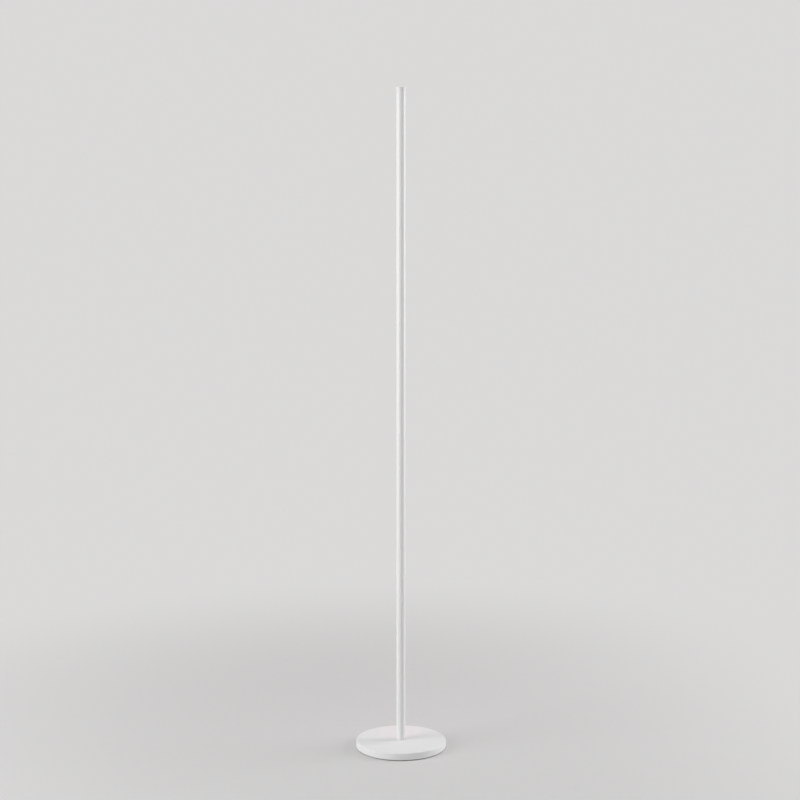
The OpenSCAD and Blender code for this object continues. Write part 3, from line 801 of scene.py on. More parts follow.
def make_cap():
    """The cap's head, with the plug that fills the front chamber and the tongue in the light channel."""
    seam, rounding, overlap = 0.12, 1.0, POLE_TOP + 0.5
    top = arc(rounding, 0, 90, 10, (POLE_R - rounding, LAMP_TOP - rounding))
    side = [(0, POLE_TOP), (POLE_R - seam, POLE_TOP), (POLE_R, POLE_TOP + seam)]
    head = lathe([*side, *top, (0, LAMP_TOP)])
    plug = chamber_bar(POLE_TOP - 12, overlap, CAP_PLASTIC)
    half, radius = 4.95, 8.0
    start = angle_of(half, radius)
    flat = [(x, SEAT_Y + 0.3) for x in (-half, half)]
    tongue = extruded([path(arc(radius, start, 180 - start), flat)], POLE_TOP - 4, overlap, CAP_PLASTIC)
    piece("pole_end_cap", "top_cap", {CAP_PLASTIC: [united(head, plug, tongue)]})


# The base

def obround_ring(grown, y, bend=0.0):
    """The window's outline grown all round, behind the pole, bent round the base if a radius is given."""
    radius = WINDOW[1] / 2 + grown
    offset = (WINDOW[0] - WINDOW[1]) / 2
    flat = arc(radius, -90, 90, 7.5, (offset, 0)) + arc(radius, 90, 270, 7.5, (-offset, 0))
    back = [bend - math.sqrt(bend ** 2 - x ** 2) if bend else 0.0 for x, _ in flat]
    return [(x, y - b, PANEL_MIDDLE + z) for (x, z), b in zip(flat, back)]


def window_tool():
    """The window in the rim, with a small flare that follows the rim's curve."""
    flare, past = 0.35, 0.1
    steps = [(0.0, -14), (0.0, -flare), (flare + past, past), (flare + past, 6)]
    return loft([obround_ring(grown, BASE_R + out, BASE_R) for grown, out in steps])


def cover_outline():
    """The cover's section: a rounded rim and a top down to the hole round the pole."""
    edge, fillet, hole_r = 0.4, 0.6, POLE_R + 0.2
    low = arc(ROUND_LOW, -90, 0, 9, (BASE_R - ROUND_LOW, COVER_LOW + ROUND_LOW))
    top = arc(ROUND_TOP, 0, 90, 7.5, (BASE_R - ROUND_TOP, COVER_TOP - ROUND_TOP))
    hole = [(hole_r + edge, COVER_TOP), (hole_r, COVER_TOP - edge), (hole_r, COVER_UNDER)]
    inner = [(RIM_R - fillet, COVER_UNDER), (RIM_R, COVER_UNDER - fillet)]
    return [(RIM_R, COVER_LOW), *low, *top, *hole, *inner]


def make_cover():
    """The cover, with bosses under its top, ribs beside its window and holes in the bosses."""
    root, board_z = COVER_UNDER + 0.5, BOARD_HIGH.z
    solid, holes = [], []
    for circle, boss_r, hole_r, low, deep in (
        (PLATE_CIRCLE, 3.5, 1.5, PLATE_HIGH, 8),
        (WEIGHT_CIRCLE, 4.5, 1.5, 8.5, 6),
        (None, 2.75, 1.2, board_z, 5),
    ):
        boss, hole = drum(boss_r, low, root, sides=40), drum(hole_r, low - 1, low + deep, sides=24)
        solid += [at_ring(boss, circle)] if circle else at_board(boss, 0)
        holes += [at_ring(hole, circle)] if circle else at_board(hole, 0)
    for side in (-1, 1):
        rib = about(side * (WINDOW[0] / 2 + 1.5), 1)
        solid.append(block(rib, (BOARD_HIGH.y + 0.4, 93.2), (board_z, root)))
    shell = cut(united(lathe(cover_outline(), 288), *solid), window_tool(), *holes)
    piece("base_shell", "base_cover", {COVER_PLASTIC: [shell]})


def countersink(size, gap, rise, sides=40):
    """The hole for a sunk screw, up to a height."""
    shank, _, head, depth, _ = size
    wide, narrow = head / 2 + gap, shank / 2 + gap
    return lathe([(0, -1), (wide, -1), (wide, 0), (narrow, depth), (narrow, rise), (0, rise)], sides)


def make_plate():
    plate = disc(36, PLATE_R, PLATE_LOW, PLATE_HIGH, 0.3, 256)
    sink = moved(countersink(PLATE_SCREW, 0.15, 2.7, 32), (0, 0, PLATE_LOW))
    plate = cut(plate, at_ring(sink, PLATE_CIRCLE))
    piece("underside_plate", "bottom_plate", {PLATE_PAINT: [plate]})


def make_feet():
    """Round feet with two grooves and a dimple in their soles."""
    groove, rounding = 0.35, 0.5
    outline = [(0, groove), (2.2, groove), (2.5, 0)]
    for inner in (4.0, 5.6):
        outline += [(inner, 0), (inner + 0.25, groove), (inner + 0.55, groove), (inner + 0.8, 0)]
    outline += arc(rounding, -90, 0, 15, (FOOT_R - rounding, rounding))
    foot = lathe([*outline, (FOOT_R, PLATE_LOW), (0, PLATE_LOW)], 48)
    piece("round_feet", "rubber_feet", {RUBBER: [at_ring(foot, FEET_CIRCLE)]})


def make_panel():
    """The pad in the window, with a lip at each end behind the rim and two flared round holes."""
    gap, edge, face = 0.2, 0.35, PANEL_FACE
    rings = [(0.0, face - PANEL_THICK), (0.0, face - edge), (-edge * 0.3, face - edge * 0.3), (-edge, face)]
    pad = loft([obround_ring(grown - gap, y) for grown, y in rings])
    lip_r = RIM_R - 0.1
    start, end = (90 - math.degrees(math.asin(x / lip_r)) for x in (17, 23))
    flat = arc(lip_r, start, end, 1) + arc(lip_r - 1.5, end, start, 1)
    level = about(PANEL_MIDDLE, WINDOW[1] / 2)
    panel = united(pad, *[prism([(side * x, y) for x, y in flat], *level) for side in (-1, 1)])
    flare, past = 0.3, 1
    holes = []
    for x, radius in ((-PORT_X, 4.2), (PORT_X, 3.7)):
        mouth = [(radius, face - flare), (radius + flare + past, face + past), (0, face + past)]
        holes.append(at_port(lathe([(0, face - 5), (radius, face - 5), *mouth], 64), x))
    piece("rear_panel", "port_panel", {PANEL_PLASTIC: [cut(panel, *holes)]})


# Screws

def ridge(turns):
    """Height of a thread's flank, from 0 to 1, at a number of turns along its helix."""
    return max(0.0, 1 - 4 * abs(turns % 1 - 0.5))


def thread(core, crest, low, high, pitch, sides=16):
    """A threaded shank about Z with a blunt tip: as many rings a turn as sides. Both its ends fade out."""
    end = high - 0.3
    rings = []
    for i in range(round((end - low) / pitch * sides) + 1):
        z = low + i * pitch / sides
        fade = max(0.0, min(1.0, (z - low) / pitch, (end - z) / pitch))
        radii = [core + (crest - core) * fade * ridge(z / pitch - k / sides) for k in range(sides)]
        rings.append([(*polar(r, 360 * k / sides), z) for k, r in enumerate(radii)])
    rings.append([(*polar(core * 0.65, 360 * k / sides), high) for k in range(sides)])
    return loft(rings)


def screw(size, sunk=True, pitch=0.8):
    """A cross-headed screw that stands on its head.

    Height 0 is the face of a sunk head, or the underside of a raised one.
    """
    shank, length, head, rise, drive = size
    head_r, edge = head / 2, 0.1
    if sunk:
        outline = [(0, 0), (head_r - edge, 0), (head_r, edge), (shank / 2, rise), (0, rise)]
        face, start = 0, rise
    else:
        crown = rise * 0.6
        dome = arc(crown, -90, 0, 15, (head_r - crown, crown - rise))
        outline = [(0, -rise), *dome, (head_r, -edge), (head_r - edge, 0), (0, 0)]
        face, start = -rise, 0
    reach = min(head * 0.3, 2)
    blade = tapered((reach * 1.1, drive / 2, face - 0.2), (reach * 0.45, drive / 3, face + rise * 0.6))
    head = reduce(cut, [moved(blade, turn=(0, 0, turn)) for turn in (0, 90)], lathe(outline, 40))
    return united(head, thread(shank * 0.39, shank / 2, start - 0.25, length, pitch))


def make_screws():
    bolt, plate = screw(FLANGE_BOLT), screw(PLATE_SCREW)
    washer, board = screw(WEIGHT_SCREW, False), screw(BOARD_SCREW, False, 0.7)
    for name, node, meshes in (
        ("splice", "splice_screws", at_splices(screw(SPLICE_SCREW))),
        ("foot", "foot_port_screws", at_ports(screw(PORT_SCREW, False), PORT_SEAT)),
        ("flange", "flange_bolts", [at_ring(moved(bolt, (0, 0, FLANGE_LOW)), FLANGE_CIRCLE)]),
        ("weight", "weight_screws", [at_ring(moved(washer, (0, 0, WEIGHT_LOW)), WEIGHT_CIRCLE)]),
        ("plate", "bottom_plate_screws", [at_ring(moved(plate, (0, 0, PLATE_LOW)), PLATE_CIRCLE)]),
        ("board", "board_screws", at_board(board, BOARD_LOW.z)),
    ):
        piece(f"{name}_fasteners", node, {STEEL: meshes})


# Inside the pole

def make_splices():
    hole = drum(SPLICE_SCREW[0] / 2 + 0.05, 0, SPLICE_SCREW[1] + 2, sides=24)
    for node in ("lower_splice", "upper_splice"):
        low, high = heights(node)
        bar = ends_broken(chamber_bar(low, high, ALUMINIUM), low, high, 0.3, 1)
        bar = cut(bar, *at_splices(hole, low, high))
        piece(f"{node}_bar", node, {ALUMINIUM: [bar]})


def on_tape(parts, first=0, step=GROUP, count=GROUPS):
    """The meshes of each material in copies up the tape, the first beside an emitter of that number."""
    start, step = (0.0, 0.0, LED_START + first * LED_PITCH), (0.0, 0.0, step * LED_PITCH)
    sizes = {"Count": count, "Start": start, "Step": step}
    return {key: [grow(row_plan, joined(meshes), key, **sizes)] for key, meshes in parts.items()}


def solder_pads(at):
    """Three solder pads across the tape at a height."""
    return [block(about(x, 0.9), (TAPE_BACK - 0.005, TAPE_BACK + 0.03), about(at, 1.3)) for x in WIRES]


def make_tape():
    """The tape with its cutting pads between the groups and two resistors in each."""
    middle, tall, inset = LED_PITCH / 2, 0.45, 1.6
    strip = block((-5, 5), (SEAT_Y, TAPE_BACK), (TAPE_LOW, TAPE_HIGH), 0.04)
    parts = {TAPE_MASK: [strip], **on_tape({COPPER: solder_pads(middle)}, 2)}
    parts[COPPER] += solder_pads(TAPE_LOW + inset) + solder_pads(TAPE_HIGH - inset)
    bodies, tips = [], []
    for x in (-3.4, 3.4):
        bodies.append(block(about(x, 0.4), (TAPE_BACK, TAPE_BACK + tall), about(middle, 0.55), 0.03))
        for z in about(middle, 0.7):
            tips.append(block(about(x, 0.42), (TAPE_BACK, TAPE_BACK + tall + 0.02), about(z, 0.2), 0.05))
    piece("light_tape", "led_tape", parts | on_tape({GLAZE: bodies, TIN: tips}))


def make_emitters():
    (_, half), (foot, face), (bottom, top) = ends("led_emitters")
    well_r, well = 1.9, 0.4
    count = round((top - bottom - 2 * half) / LED_PITCH) + 1
    body = block(about(0, half), (foot, face), about(0, half), 0.12)
    body = cut(body, moved(drum(well_r, -1, well, sides=24), (0, face, 0), (90, 0, 0)))
    lens = lathe([(0, 0), (well_r, 0), (well_r, 0.16), (1.0, 0.26), (0, 0.28)], 24)
    feet = product(about(0, half + 0.1), (-1.6, 0, 1.6))
    legs = [block(about(x, 0.35), (foot, foot + 0.7), about(z, 0.45)) for x, z in feet]
    parts = {EMITTER_CASE: [body], PHOSPHOR: [rearward(lens, y=face - well)], TIN: legs}
    piece("light_emitters", "led_emitters", on_tape(parts, 0, 1, count))


def chip_body(width, length, height):
    """A moulded chip on the XY plane. Its sides lean in above and below, and a dot marks a corner."""
    lean, x, y = 0.15, width / 2, length / 2
    body = tapered((x - lean, y - lean, 0.08), (x, y, height * 0.45), (x - lean, y - lean, height))
    return cut(body, moved(drum(0.35, height - 0.06, height + 1, sides=20), (0.8 - x, y - 0.8, 0)))


def leg_rows(width, length, leg):
    """Four bent legs along each long side of a chip, from its middle height down to a foot."""
    line = [(-0.1, 0.7), (0.35, 0.7), (0.55, 0), (1.0, 0)]
    bent = prism(line + [(x + 0.08, z + 0.2) for x, z in reversed(line)], *about(0, leg / 2), axis=1)
    legs = []
    for i in range(4):
        y = (i + 0.5) * length / 4 - length / 2
        legs += [moved(bent, (width / 2, y, 0)), moved(bent, (-width / 2, y, 0), (0, 0, 180))]
    return joined(legs)


def make_tape_chips():
    low, high = span("tape_control_chips")
    width, height, length = high.x - low.x, high.y - low.y, 4.9
    first = round((low.z + length / 2 - LED_START) / LED_PITCH - 0.5)
    parts = {EPOXY: chip_body(width, length, height), TIN: leg_rows(width, length, 0.45)}
    parts = {material: [rearward(mesh, y=TAPE_BACK, z=LED_PITCH / 2)] for material, mesh in parts.items()}
    piece("tape_chips", "tape_control_chips", on_tape(parts, first))


def make_lead():
    """Three insulated wires from the tape to the plug, with their bare ends soldered to the tape."""
    radius, bend = 0.65, 3.5
    start, strip = span("tape_lead")[0].y + radius, TAPE_LOW + 0.4
    quarter = arc(bend, 180, 270, 9, (start + bend, WIRE_LEVEL + bend))
    drop = rearward(lathe([(0, 0), (0.95, 0), (0.8, 0.3), (0.5, 0.6), (0, 0.75)], 20))
    drop.transform(Matrix.Diagonal((1, 1, 1.4, 1)))
    parts = {WIRE_JACKET: [], TIN: []}
    for x in WIRES:
        sleeve = [(x, y, z) for y, z in [(start, strip), *quarter, (PLUG_BACK, WIRE_LEVEL)]]
        core = [(x, start, strip - 0.3), (x, start - 0.25, strip + 0.5), (x, start - 0.3, strip + 2)]
        parts[WIRE_JACKET].append(wire(sleeve, radius, 20, WIRE_JACKET))
        parts[TIN] += [wire(core, 0.33, 12, TIN), moved(drop, (x, TAPE_BACK, TAPE_LOW + 1.6))]
    piece("tape_wires", "tape_lead", parts)


# Inside the base

def make_foot():
    """The cast foot: flange, boss and spigot, with its screw holes and a notch for the wires."""
    edge, root, overlap, notch_half, clear = 0.5, 0.4, POLE_FOOT - 1, 5, 0.3
    corner = arc(root, 270, 180, 15, (BOSS_R + root, WEIGHT_LOW + root))
    outline = [(0, FLANGE_LOW), *rim(FLANGE_R, FLANGE_LOW, WEIGHT_LOW, edge), *corner]
    outline += [(BOSS_R, POLE_FOOT - edge), (BOSS_R - edge, POLE_FOOT), (0, POLE_FOOT)]
    spigot = chamber_bar(overlap, SPIGOT_TOP, CASTING)
    foot = united(lathe(outline, 144), ends_broken(spigot, overlap, SPIGOT_TOP, 0.3, 1))
    notch = block(about(0, notch_half), (SEAT_Y, BOSS_R + 5), (WIRE_LEVEL - 2.2, POLE_FOOT + 5))
    wide, narrow, top = PORT_SCREW[2] / 2 + clear, PORT_SCREW[0] / 2 + clear, POLE_FOOT + 1
    sink = lathe([(0, 0), (wide, 0), (wide, PORT_SEAT), (narrow, PORT_SEAT), (narrow, top), (0, top)], 40)
    bolt = moved(countersink(FLANGE_BOLT, clear, 6), (0, 0, FLANGE_LOW))
    foot = reduce(cut, [notch, *at_ports(sink, 0), at_ring(bolt, FLANGE_CIRCLE)], foot)
    piece("cast_foot", "pole_foot", {CASTING: [foot]})


def make_weight():
    """The counterweight: a thick disc cut clear of the bosses, the foot, the wires and the board."""
    boss_hole, bolt_hole, scallop, channel, pocket_gap = 5, 2.5, 4.5, 6, 4
    through, pocket_y = (WEIGHT_LOW - 1, WEIGHT_HIGH + 1), BOARD_LOW.y - 12
    bite = arc(scallop, 90, 270, 7.5) + [(12, -scallop), (12, scallop)]
    tools = [
        at_ring(drum(boss_hole, *through, sides=48), WEIGHT_CIRCLE),
        at_ring(drum(bolt_hole, *through, sides=32), FLANGE_CIRCLE),
        block(about(0, channel), (0, pocket_y + 1), through),
        block(about(0, BOARD_HIGH.x + pocket_gap), (pocket_y, BASE_R + 5), through),
        at_ring(prism(bite, *through), PLATE_CIRCLE),
    ]
    weight = reduce(cut, tools, disc(BOSS_R + 0.5, WEIGHT_R, WEIGHT_LOW, WEIGHT_HIGH, 0.6, 240))
    piece("steel_weight", "counterweight", {WEIGHT_PAINT: [weight]})


# On the control board: tracks of flat points and a width, and where solder joints and vias are
TRACKS = [
    ([(-9, 83), (-9, 80.5), (-14, 78), (-20, 78), (-24, 76)], 1.6),
    ([(-24, 72), (-24, 68), (-18, 66)], 1.6),
    ([(-11, 66), (-6, 66), (-3, 69)], 1.0),
    *[([(x, 69), (x, 73)], 0.5) for x in WIRES],
    ([(4, 75), (7, 75), (9, 73)], 0.4),
    ([(4, 77), (8, 77), (9, 76)], 0.4),
    ([(4, 79), (6, 81), (7.5, 86)], 0.4),
    ([(4, 74), (12, 66), (14, 66)], 0.4),
    ([(3, 80), (3, 84), (8, 86)], 0.4),
]
SOLDER_JOINTS = [(x, y) for x in WIRES for y in (64, 66.5)] + [(7, 87.5), (11, 87.5)]
VIAS = [(-26 + 4 * i, 62.5) for i in range(4)] + [(14 + 3 * i, 88) for i in range(4)]


def flat_track(points, width, level):
    """A copper track on a board: a thin strip through flat points, mitred at its corners."""
    spots = [Vector(p) for p in points]
    runs = [(q - p).normalized() for p, q in zip(spots, spots[1:])]
    left, right = [], []
    for spot, before, after in zip(spots, runs[:1] + runs, runs + runs[-1:]):
        side = (before + after).orthogonal() / (1 + before.dot(after)) * width / 2
        left.append(spot + side)
        right.append(spot - side)
    return prism(left + right[::-1], level - 0.01, level + 0.035)


def make_board():
    """The control board: rounded, notched round the inlet, with ringed holes, tracks and solder joints."""
    xs, ys, (under, top) = zip(BOARD_LOW, BOARD_HIGH)
    inlet_xs, inlet_ys, _ = ends("dc_jack")
    gap, r, hole_r, proud = 0.2, 1.5, 1.45, 0.03
    (left, right), (front, _), back = within(inlet_xs, -gap), within(inlet_ys, -gap), ys[1]
    (x0, x1), (y0, y1) = within(xs, r), within(ys, r)
    places = zip((2, 3, 0, 1), ((x0, y0), (x1, y0), (x1, y1), (x0, y1)))
    corners = [arc(r, 90 * i, 90 * i + 90, 22.5, at) for i, at in places]
    notch = [(right, back), (right, front), (left, front), (left, back)]
    holes = [arc(hole_r, 0, 345, 15, at)[::-1] for at in BOARD_HOLES]
    outline = path(*corners[:3], notch, corners[3])
    ring = disc(hole_r + 0.05, 2.6, *within((under, top), -proud), 0, 32)
    via = disc(0.2, 0.45, 0, 0.04, 0, 16)
    cone = moved(lathe([(0, 0), (0.9, 0), (0.6, 0.2), (0.35, 0.5), (0, 0.6)], 20), turn=(180, 0, 0))
    piece("main_board", "control_board", {
        BOARD_MASK: [extruded([outline, *holes], under, top, BOARD_MASK)],
        GOLD: at_board(ring, 0) + [moved(via, (*at, top)) for at in VIAS],
        TRACK_MASK: [flat_track(points, width, top) for points, width in TRACKS],
        TIN: [moved(cone, (*at, under)) for at in SOLDER_JOINTS],
    })


def make_radio():
    """The radio module: a small board with edge contacts, a shield can and a folded aerial."""
    (left, right), ys, (under, can_top) = ends("radio_module")
    top, edge, can_w = under + 0.8, 1.2, 11
    slab = block((left, right), ys, (under, top), 0.06)
    can_x, can_y = (right - can_w - edge, right - edge), within(ys, edge)
    can = block(can_x, can_y, (top - 0.01, can_top), 0.25)
    dimple = disc(0.5, 0.8, *about(0, 0.03), 0, 24)
    spots = [moved(dimple, (*at, can_top)) for at in product(within(can_x, 2), within(can_y, 2))]
    rows = [(left + 6.5 + 1.5 * i, y) for y in ys for i in range(7)]
    contacts = [block(about(x, 0.4), about(y, 0.25), (under, top + 0.03)) for x, y in rows]
    folds = [(left + 0.9 + 0.9 * i, y) for i in range(5) for y in can_y[::-1 if i % 2 else 1]]
    parts = {BOARD_MASK: [slab], CAN_METAL: [can, *spots], GOLD: [*contacts, flat_track(folds, 0.4, top)]}
    piece("radio_board", "radio_module", parts)


def make_capacitors():
    """Two can capacitors on square bases with two corners cut, and a dark mark on one side of each top."""
    xs, ys, (foot, top) = ends("board_capacitors")
    half, clip, base = 3.3, 1.3, 0.8
    radius, height, waist, dish = 3.15, top - foot, 0.15, 0.12
    side = [(radius, -0.1), (0.3, -0.1), (0, 0.2), (0, 0.9), (waist, 1.1), (waist, 1.4), (0, 1.6)]
    outline = [(radius - inward, base + z) for inward, z in side]
    outline += arc(0.4, 0, 90, 15, (radius - 0.4, height - 0.4))
    can = lathe([*outline, (radius - 0.7, height - dish), (0, height - dish)], 64)
    vent = block((-1.6, 1.6), (-0.09, 0.09), (height - 0.2, height + 1))
    can = reduce(cut, [moved(vent, turn=(0, 0, turn)) for turn in (0, 60, 120)], can)
    mark = prism(arc(radius - 0.75, 110, 250, 10), height - 0.14, height - 0.09)
    flat = [(-half, -half), (half - clip, -half), (half, clip - half)]
    stand = prism(flat + [(half, half - clip), (half - clip, half), (-half, half)], 0.05, base)
    feet = [block(about(x, 0.45), (-0.3, 0.3), (0, 0.35), 0.05) for x in (-half, half)]
    spots = [(x, sum(ys) / 2, foot) for x in within(xs, half)]
    parts = {CAN_METAL: [can], GLAZE: [mark, stand], TIN: feet}
    parts = {key: [moved(mesh, spot) for spot in spots for mesh in meshes] for key, meshes in parts.items()}
    piece("can_capacitors", "board_capacitors", parts)


def make_coil():
    """The coil: a square ferrite block with its winding in the well round the core."""
    low, high = span("board_coil")
    middle = (*(low.xy + high.xy) / 2, 0)
    floor = high.z - 0.6
    shell = cut(block(*zip(low, high), 0.35), moved(drum(2.5, floor, high.z + 1), middle))
    core = moved(drum(1.2, floor - 0.1, high.z - 0.1, 0.08, 32), middle)
    rounds = [arc(0.14, 0, 330, 30, (1.37 + 0.27 * i, floor + 0.13)) for i in range(4)]
    turns = [moved(lathe(one, 40), middle) for one in rounds]
    piece("wound_coil", "board_coil", {FERRITE: [shell, core], COPPER: turns})


def make_board_chips():
    """The controller with contacts on four sides, the transistor with its tab, and the receiver."""
    low, high = span("board_chips")
    side, pitch = 7, 0.6
    spot = (0.5, BOARD_HIGH.y - 18 + side / 2, low.z)
    contact = block((side / 2 - 0.4, side / 2 + 0.12), (-0.13, 0.13), (0, 0.22))
    row = joined([moved(contact, (0, pitch * (i - 4.5), 0)) for i in range(10)])
    bodies = [moved(chip_body(side, side, 1.0), spot)]
    metal = [moved(row, spot, (0, 0, turn)) for turn in (0, 90, 180, 270)]

    wide, deep = 6.5, 6.0
    spot = (low.x + wide / 2, BOARD_HIGH.y - 23.5 + deep / 2, low.z)
    bodies.append(moved(chip_body(wide, deep, high.z - low.z), spot))
    tab = block((-2.6, 2.6), (deep / 2 - 0.2, deep / 2 + 1.1), (0, 0.5), 0.08)
    end = (-deep / 2 - 0.7, 0.3 - deep / 2)
    legs = [block(about(x, 0.4), end, (0, 0.45), 0.06) for x in (-2.3, 2.3)]
    metal += [moved(mesh, spot) for mesh in (tab, *legs)]

    wide, deep = 5.0, 4.0
    spot = (BOARD_HIGH.x - 16 + wide / 2, BOARD_HIGH.y - 29 + deep / 2, low.z)
    bodies.append(moved(chip_body(deep, wide, 1.4), spot, (0, 0, 90)))
    metal.append(moved(leg_rows(deep, wide, 0.42), spot, (0, 0, 90)))
    piece("board_packages", "board_chips", {EPOXY: bodies, TIN: metal})


def make_connector():
    """The header on the board with its three pins, and the plug on the wires with its latch and windows."""
    xs, (front, back), zs = ends("board_header")
    wall, top = 1, zs[1]
    room = block(within(xs, wall), (front - 1, back - wall), within(zs, wall))
    keyway = block((-1.6, 1.6), (front - 1, front + 4), (top - wall - 0.5, top + 1))
    shell = reduce(cut, [room, keyway], block(xs, (front, back), zs, 0.2))
    run, level = (front + 1, back - wall / 2), about(WIRE_LEVEL, 0.32)
    pins = [block(about(x, 0.32), run, level, 0.1) for x in WIRES]
    piece("board_socket", "board_header", {NYLON: [shell], TIN: pins})

    xs, (front, back), (under, top) = ends("lead_plug")
    tools = []
    for x in WIRES:
        tools.append(rearward(drum(0.85, 0, 1.5, sides=24), x, front - 0.1, WIRE_LEVEL))
        tools.append(block(about(x, 0.6), (front + 4, front + 6), (under - 1, under + 0.5)))
        tools.append(rearward(drum(0.45, 0, 7, sides=16), x, back - 6, WIRE_LEVEL))
    body = reduce(cut, tools, block(xs, (front, back), (under, top), 0.25))
    proud = (top - 0.02, top + 0.12)
    grip = [block((-3.5, 3.5), (front + at, front + at + 0.35), proud) for at in (0.8, 1.6, 2.4)]
    latch = block((-1.1, 1.1), (back - 4, back - 2.2), proud, 0.05)
    piece("wire_plug", "lead_plug", {NYLON: [body, *grip, latch]})


# Rear ports

def make_jack():
    """The power inlet: a block with a round nose, a chamfered bore and a sprung contact beside it."""
    xs, (front, back), zs = ends("dc_jack")
    bore_r, nose_r, floor, edge, past = 3.15, 4.0, span("dc_jack_pin")[0].y, 0.25, back + 0.5
    shoulder = PANEL_FACE - PANEL_THICK
    box = block(xs, (front, shoulder), zs, 0.3)
    nose = [(0, shoulder - 1), (nose_r, shoulder - 1), (nose_r, back - edge), (nose_r - edge, back)]
    mouth = [(0, floor), (bore_r, floor), (bore_r, back - 0.4), (bore_r + 0.9, past), (0, past)]
    body = united(box, at_port(lathe([*nose, (0, back)], 64), -PORT_X))
    body = cut(body, at_port(lathe(mouth, 64), -PORT_X))
    top = PANEL_MIDDLE + bore_r
    strip = [(floor + y, top - z) for y, z in ((0.3, 0.15), (3, 0.55), (5.5, 0.55), (7.5, 0.1))]
    spring = prism(strip + [(y, z + 0.14) for y, z in reversed(strip)], *about(-PORT_X, 0.9), axis=0)
    foot = (front - 0.15, front + 0.2)
    tabs = [block(about(x, 1), foot, (zs[0] + 1.2, zs[0] + 4), 0.05) for x in about(-PORT_X, 2)]
    piece("power_inlet", "dc_jack", {INLET_PLASTIC: [body], TIN: [spring, *tabs]})


def make_pin():
    """The inlet's centre pin, with a rounded tip split by a fine slot."""
    low, high = span("dc_jack_pin")
    radius, rounding = (high.x - low.x) / 2, 0.4
    tip = arc(rounding, 0, 90, 15, (radius - rounding, high.y - rounding))
    pin = lathe([(0, low.y), (radius, low.y), *tip, (0, high.y)], 48)
    pin = cut(pin, block((-1.5, 1.5), (-0.12, 0.12), (high.y - 2.2, high.y + 1)))
    piece("inlet_pin", "dc_jack_pin", {BRASS: [at_port(pin, -PORT_X)]})


def make_button():
    """The button's dished cap with its flange, and the switch's stem."""
    low, high = span("power_button")
    radius, flange_r, flange, dish, edge = 3.5, (high.x - low.x) / 2, low.y + 0.8, 0.3, 0.25
    dish_r = radius - 0.6
    sphere_r = (dish_r ** 2 + dish ** 2) / (2 * dish)
    steps = [dish_r * i / 8 for i in range(9)]
    hollow = [(r, high.y - dish + sphere_r - math.sqrt(sphere_r ** 2 - r ** 2)) for r in steps]
    shoulder = arc(edge, 90, 0, 15, (radius - edge, high.y - edge))
    side = [(radius, flange), (flange_r - 0.1, flange), (flange_r, flange - 0.1), (flange_r, low.y)]
    cap = at_port(lathe([*hollow, *shoulder, *side, (0, low.y)], 72), PORT_X)
    piece("button_cap", "power_button", {BUTTON_PLASTIC: [cap]}, "button")

    low, high = span("switch_plunger")
    stem = at_port(drum((high.x - low.x) / 2, low.y, high.y, 0.2, 40), PORT_X)
    piece("switch_stem", "switch_plunger", {SWITCH_PLASTIC: [stem]}, "button")


def make_switch():
    """The switch: a moulded body under a thin steel frame with four rivets, and four legs on the board."""
    xs, ys, zs = ends("tact_switch")
    well_r, well, back, foot = 1.82, 1.7, ys[1], zs[0]
    body = block(xs, ys, zs, 0.12)
    body = cut(body, at_port(drum(well_r, back - well, back + 1, sides=40), PORT_X))
    plate = block(within(xs, 0.1), about(back, 0.12), within(zs, 0.1), 0.04)
    plate = cut(plate, at_port(drum(well_r + 0.02, back - 1, back + 1, sides=40), PORT_X))
    rivet = drum(0.3, 0, 0.22, 0.06, 16)
    rivets = [rearward(rivet, x, back, z) for x, z in product(within(xs, 0.7), within(zs, 0.7))]
    feet = product(within(xs, -0.4), within(ys, 0.8))
    legs = [block(about(x, 0.45), about(y, 0.35), (foot, foot + 0.25), 0.03) for x, y in feet]
    parts = {SWITCH_PLASTIC: [body], STEEL: [plate, *rivets, *legs]}
    piece("push_switch", "tact_switch", parts)


# The studio

CAMERA_PLACE = (-0.0020, -4.305, 1.438)
CAMERA_PITCH = 8.62
CAMERA_LENS = 89.8
BACKDROP = (0.70, 0.695, 0.69)
FLOOR_COLOUR = (0.71, 0.705, 0.70)
FLOOR_R = 9
FLOOR_NEAR = 0.4
FLOOR_FAR = 1.6
SKY_LOW = 0.04
SKY_HIGH = 0.6
WASH_SIZE = (0.010, 0.45)
WASH_COLOUR = (1.0, 0.36, 0.46)
WASH_POWER = 0.035
WASH_PLACE = Vector((0, (POLE_R + 0.5) * MM, WASH_SIZE[1] / 2 + 0.040))

# Angle round the lamp from the camera's side, distance, height, size and power
LAMPS = {
    "key": (-67, 3.0, 1.3, (1.8, 2.4), 58),
    "rim": (102, 3.0, 1.3, (1.8, 2.4), 60),
    "top": (0, 0.4, 3.2, (2.4, 2.4), 9),
}


def make_camera():
    camera = placed("view", bpy.data.cameras.new("view"))
    camera.data.lens = CAMERA_LENS
    camera.data.sensor_width = 36
    camera.location = CAMERA_PLACE
    camera.rotation_euler = (math.radians(90 - CAMERA_PITCH), 0, 0)
    bpy.context.scene.camera = camera


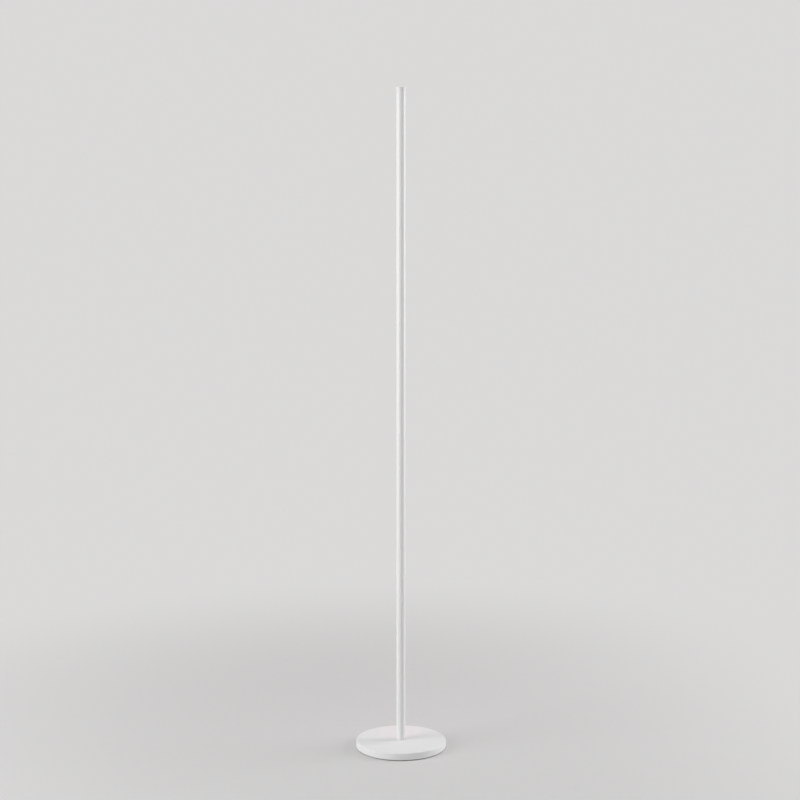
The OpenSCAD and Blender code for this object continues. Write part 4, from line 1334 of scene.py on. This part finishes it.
def make_world():
    """Soft light that rises towards the zenith, and the backdrop's colour where it is seen or reflected."""
    world = bpy.data.worlds.new("studio")
    world.use_nodes = True
    tree = Tree(world.node_tree)
    kinds = ("Camera", "Glossy", "Transmission")
    rays = [tree.node("ShaderNodeLightPath", output=f"Is {kind} Ray") for kind in kinds]
    height = tree.split(tree.node("ShaderNodeTexCoord", output="Generated"))[2].most(0)
    sky = SKY_LOW + height * (SKY_HIGH - SKY_LOW)
    ambient = tree.node("ShaderNodeBackground", {"Color": (1, 1, 1), "Strength": sky})
    backdrop = tree.node("ShaderNodeBackground", {"Color": BACKDROP, "Strength": 1.0})
    seen = rays[0].most(rays[1]).most(rays[2])
    mixed = tree.node("ShaderNodeMixShader", {0: seen, 1: ambient, 2: backdrop})
    tree.node("ShaderNodeOutputWorld", {"Surface": mixed})
    bpy.context.scene.world = world


def make_light(name, place, aim, size, power, colour=(1, 1, 1)):
    """A soft lamp that the camera doesn't see."""
    light = placed(name, bpy.data.lights.new(name, "AREA"))
    light.data.shape = "RECTANGLE"
    light.data.size, light.data.size_y = size
    light.data.energy = power
    light.data.color = colour
    light.location = place
    light.rotation_euler = (Vector(aim) - Vector(place)).to_track_quat("-Z", "Y").to_euler()
    light.visible_camera = False


def make_lights():
    """The studio's lamps, and the light that the lower part of the diffuser throws on the base."""
    for name, (around, distance, height, size, power) in LAMPS.items():
        make_light(name, (*polar(distance, around - 90), height), (0, 0, 0.7), size, power)
    make_light("wash", WASH_PLACE, WASH_PLACE + Vector((0, 1, 0)), WASH_SIZE, WASH_POWER, WASH_COLOUR)


def make_floor():
    """A pale floor that fades into the backdrop away from the lamp."""
    f = Finish("studio_floor")
    x, y, _ = f.split(f.place)
    fade = ((x * x + y * y) ** 0.5).ramp(FLOOR_NEAR, FLOOR_FAR)
    colour = f.tone(f.noise(35, 3.0), FLOOR_COLOUR, 0.99, 1.01)
    near = f.node("ShaderNodeBsdfPrincipled", {"Base Color": colour, "Roughness": 0.6})
    far = f.node("ShaderNodeEmission", {"Color": BACKDROP, "Strength": 1.0})
    mixed = f.node("ShaderNodeMixShader", {0: fade, 1: near, 2: far})
    f.node("ShaderNodeOutputMaterial", {"Surface": mixed})
    mesh = bpy.data.meshes.new("floor")
    mesh.from_pydata([(*polar(FLOOR_R, 7.5 * i), 0) for i in range(48)], [], [list(range(48))])
    placed("floor", painted(mesh, f.material))


for make in (
    make_camera, make_world, make_floor, make_lights,
    make_tubes, make_diffuser, make_cap, make_cover, make_plate, make_feet, make_panel,
    make_splices, make_screws, make_tape, make_emitters, make_tape_chips, make_lead, make_foot, make_weight,
    make_board, make_radio, make_capacitors, make_coil, make_board_chips, make_connector,
    make_jack, make_pin, make_button, make_switch,
):
    make()

bpy.context.scene.view_settings.view_transform = "Standard"
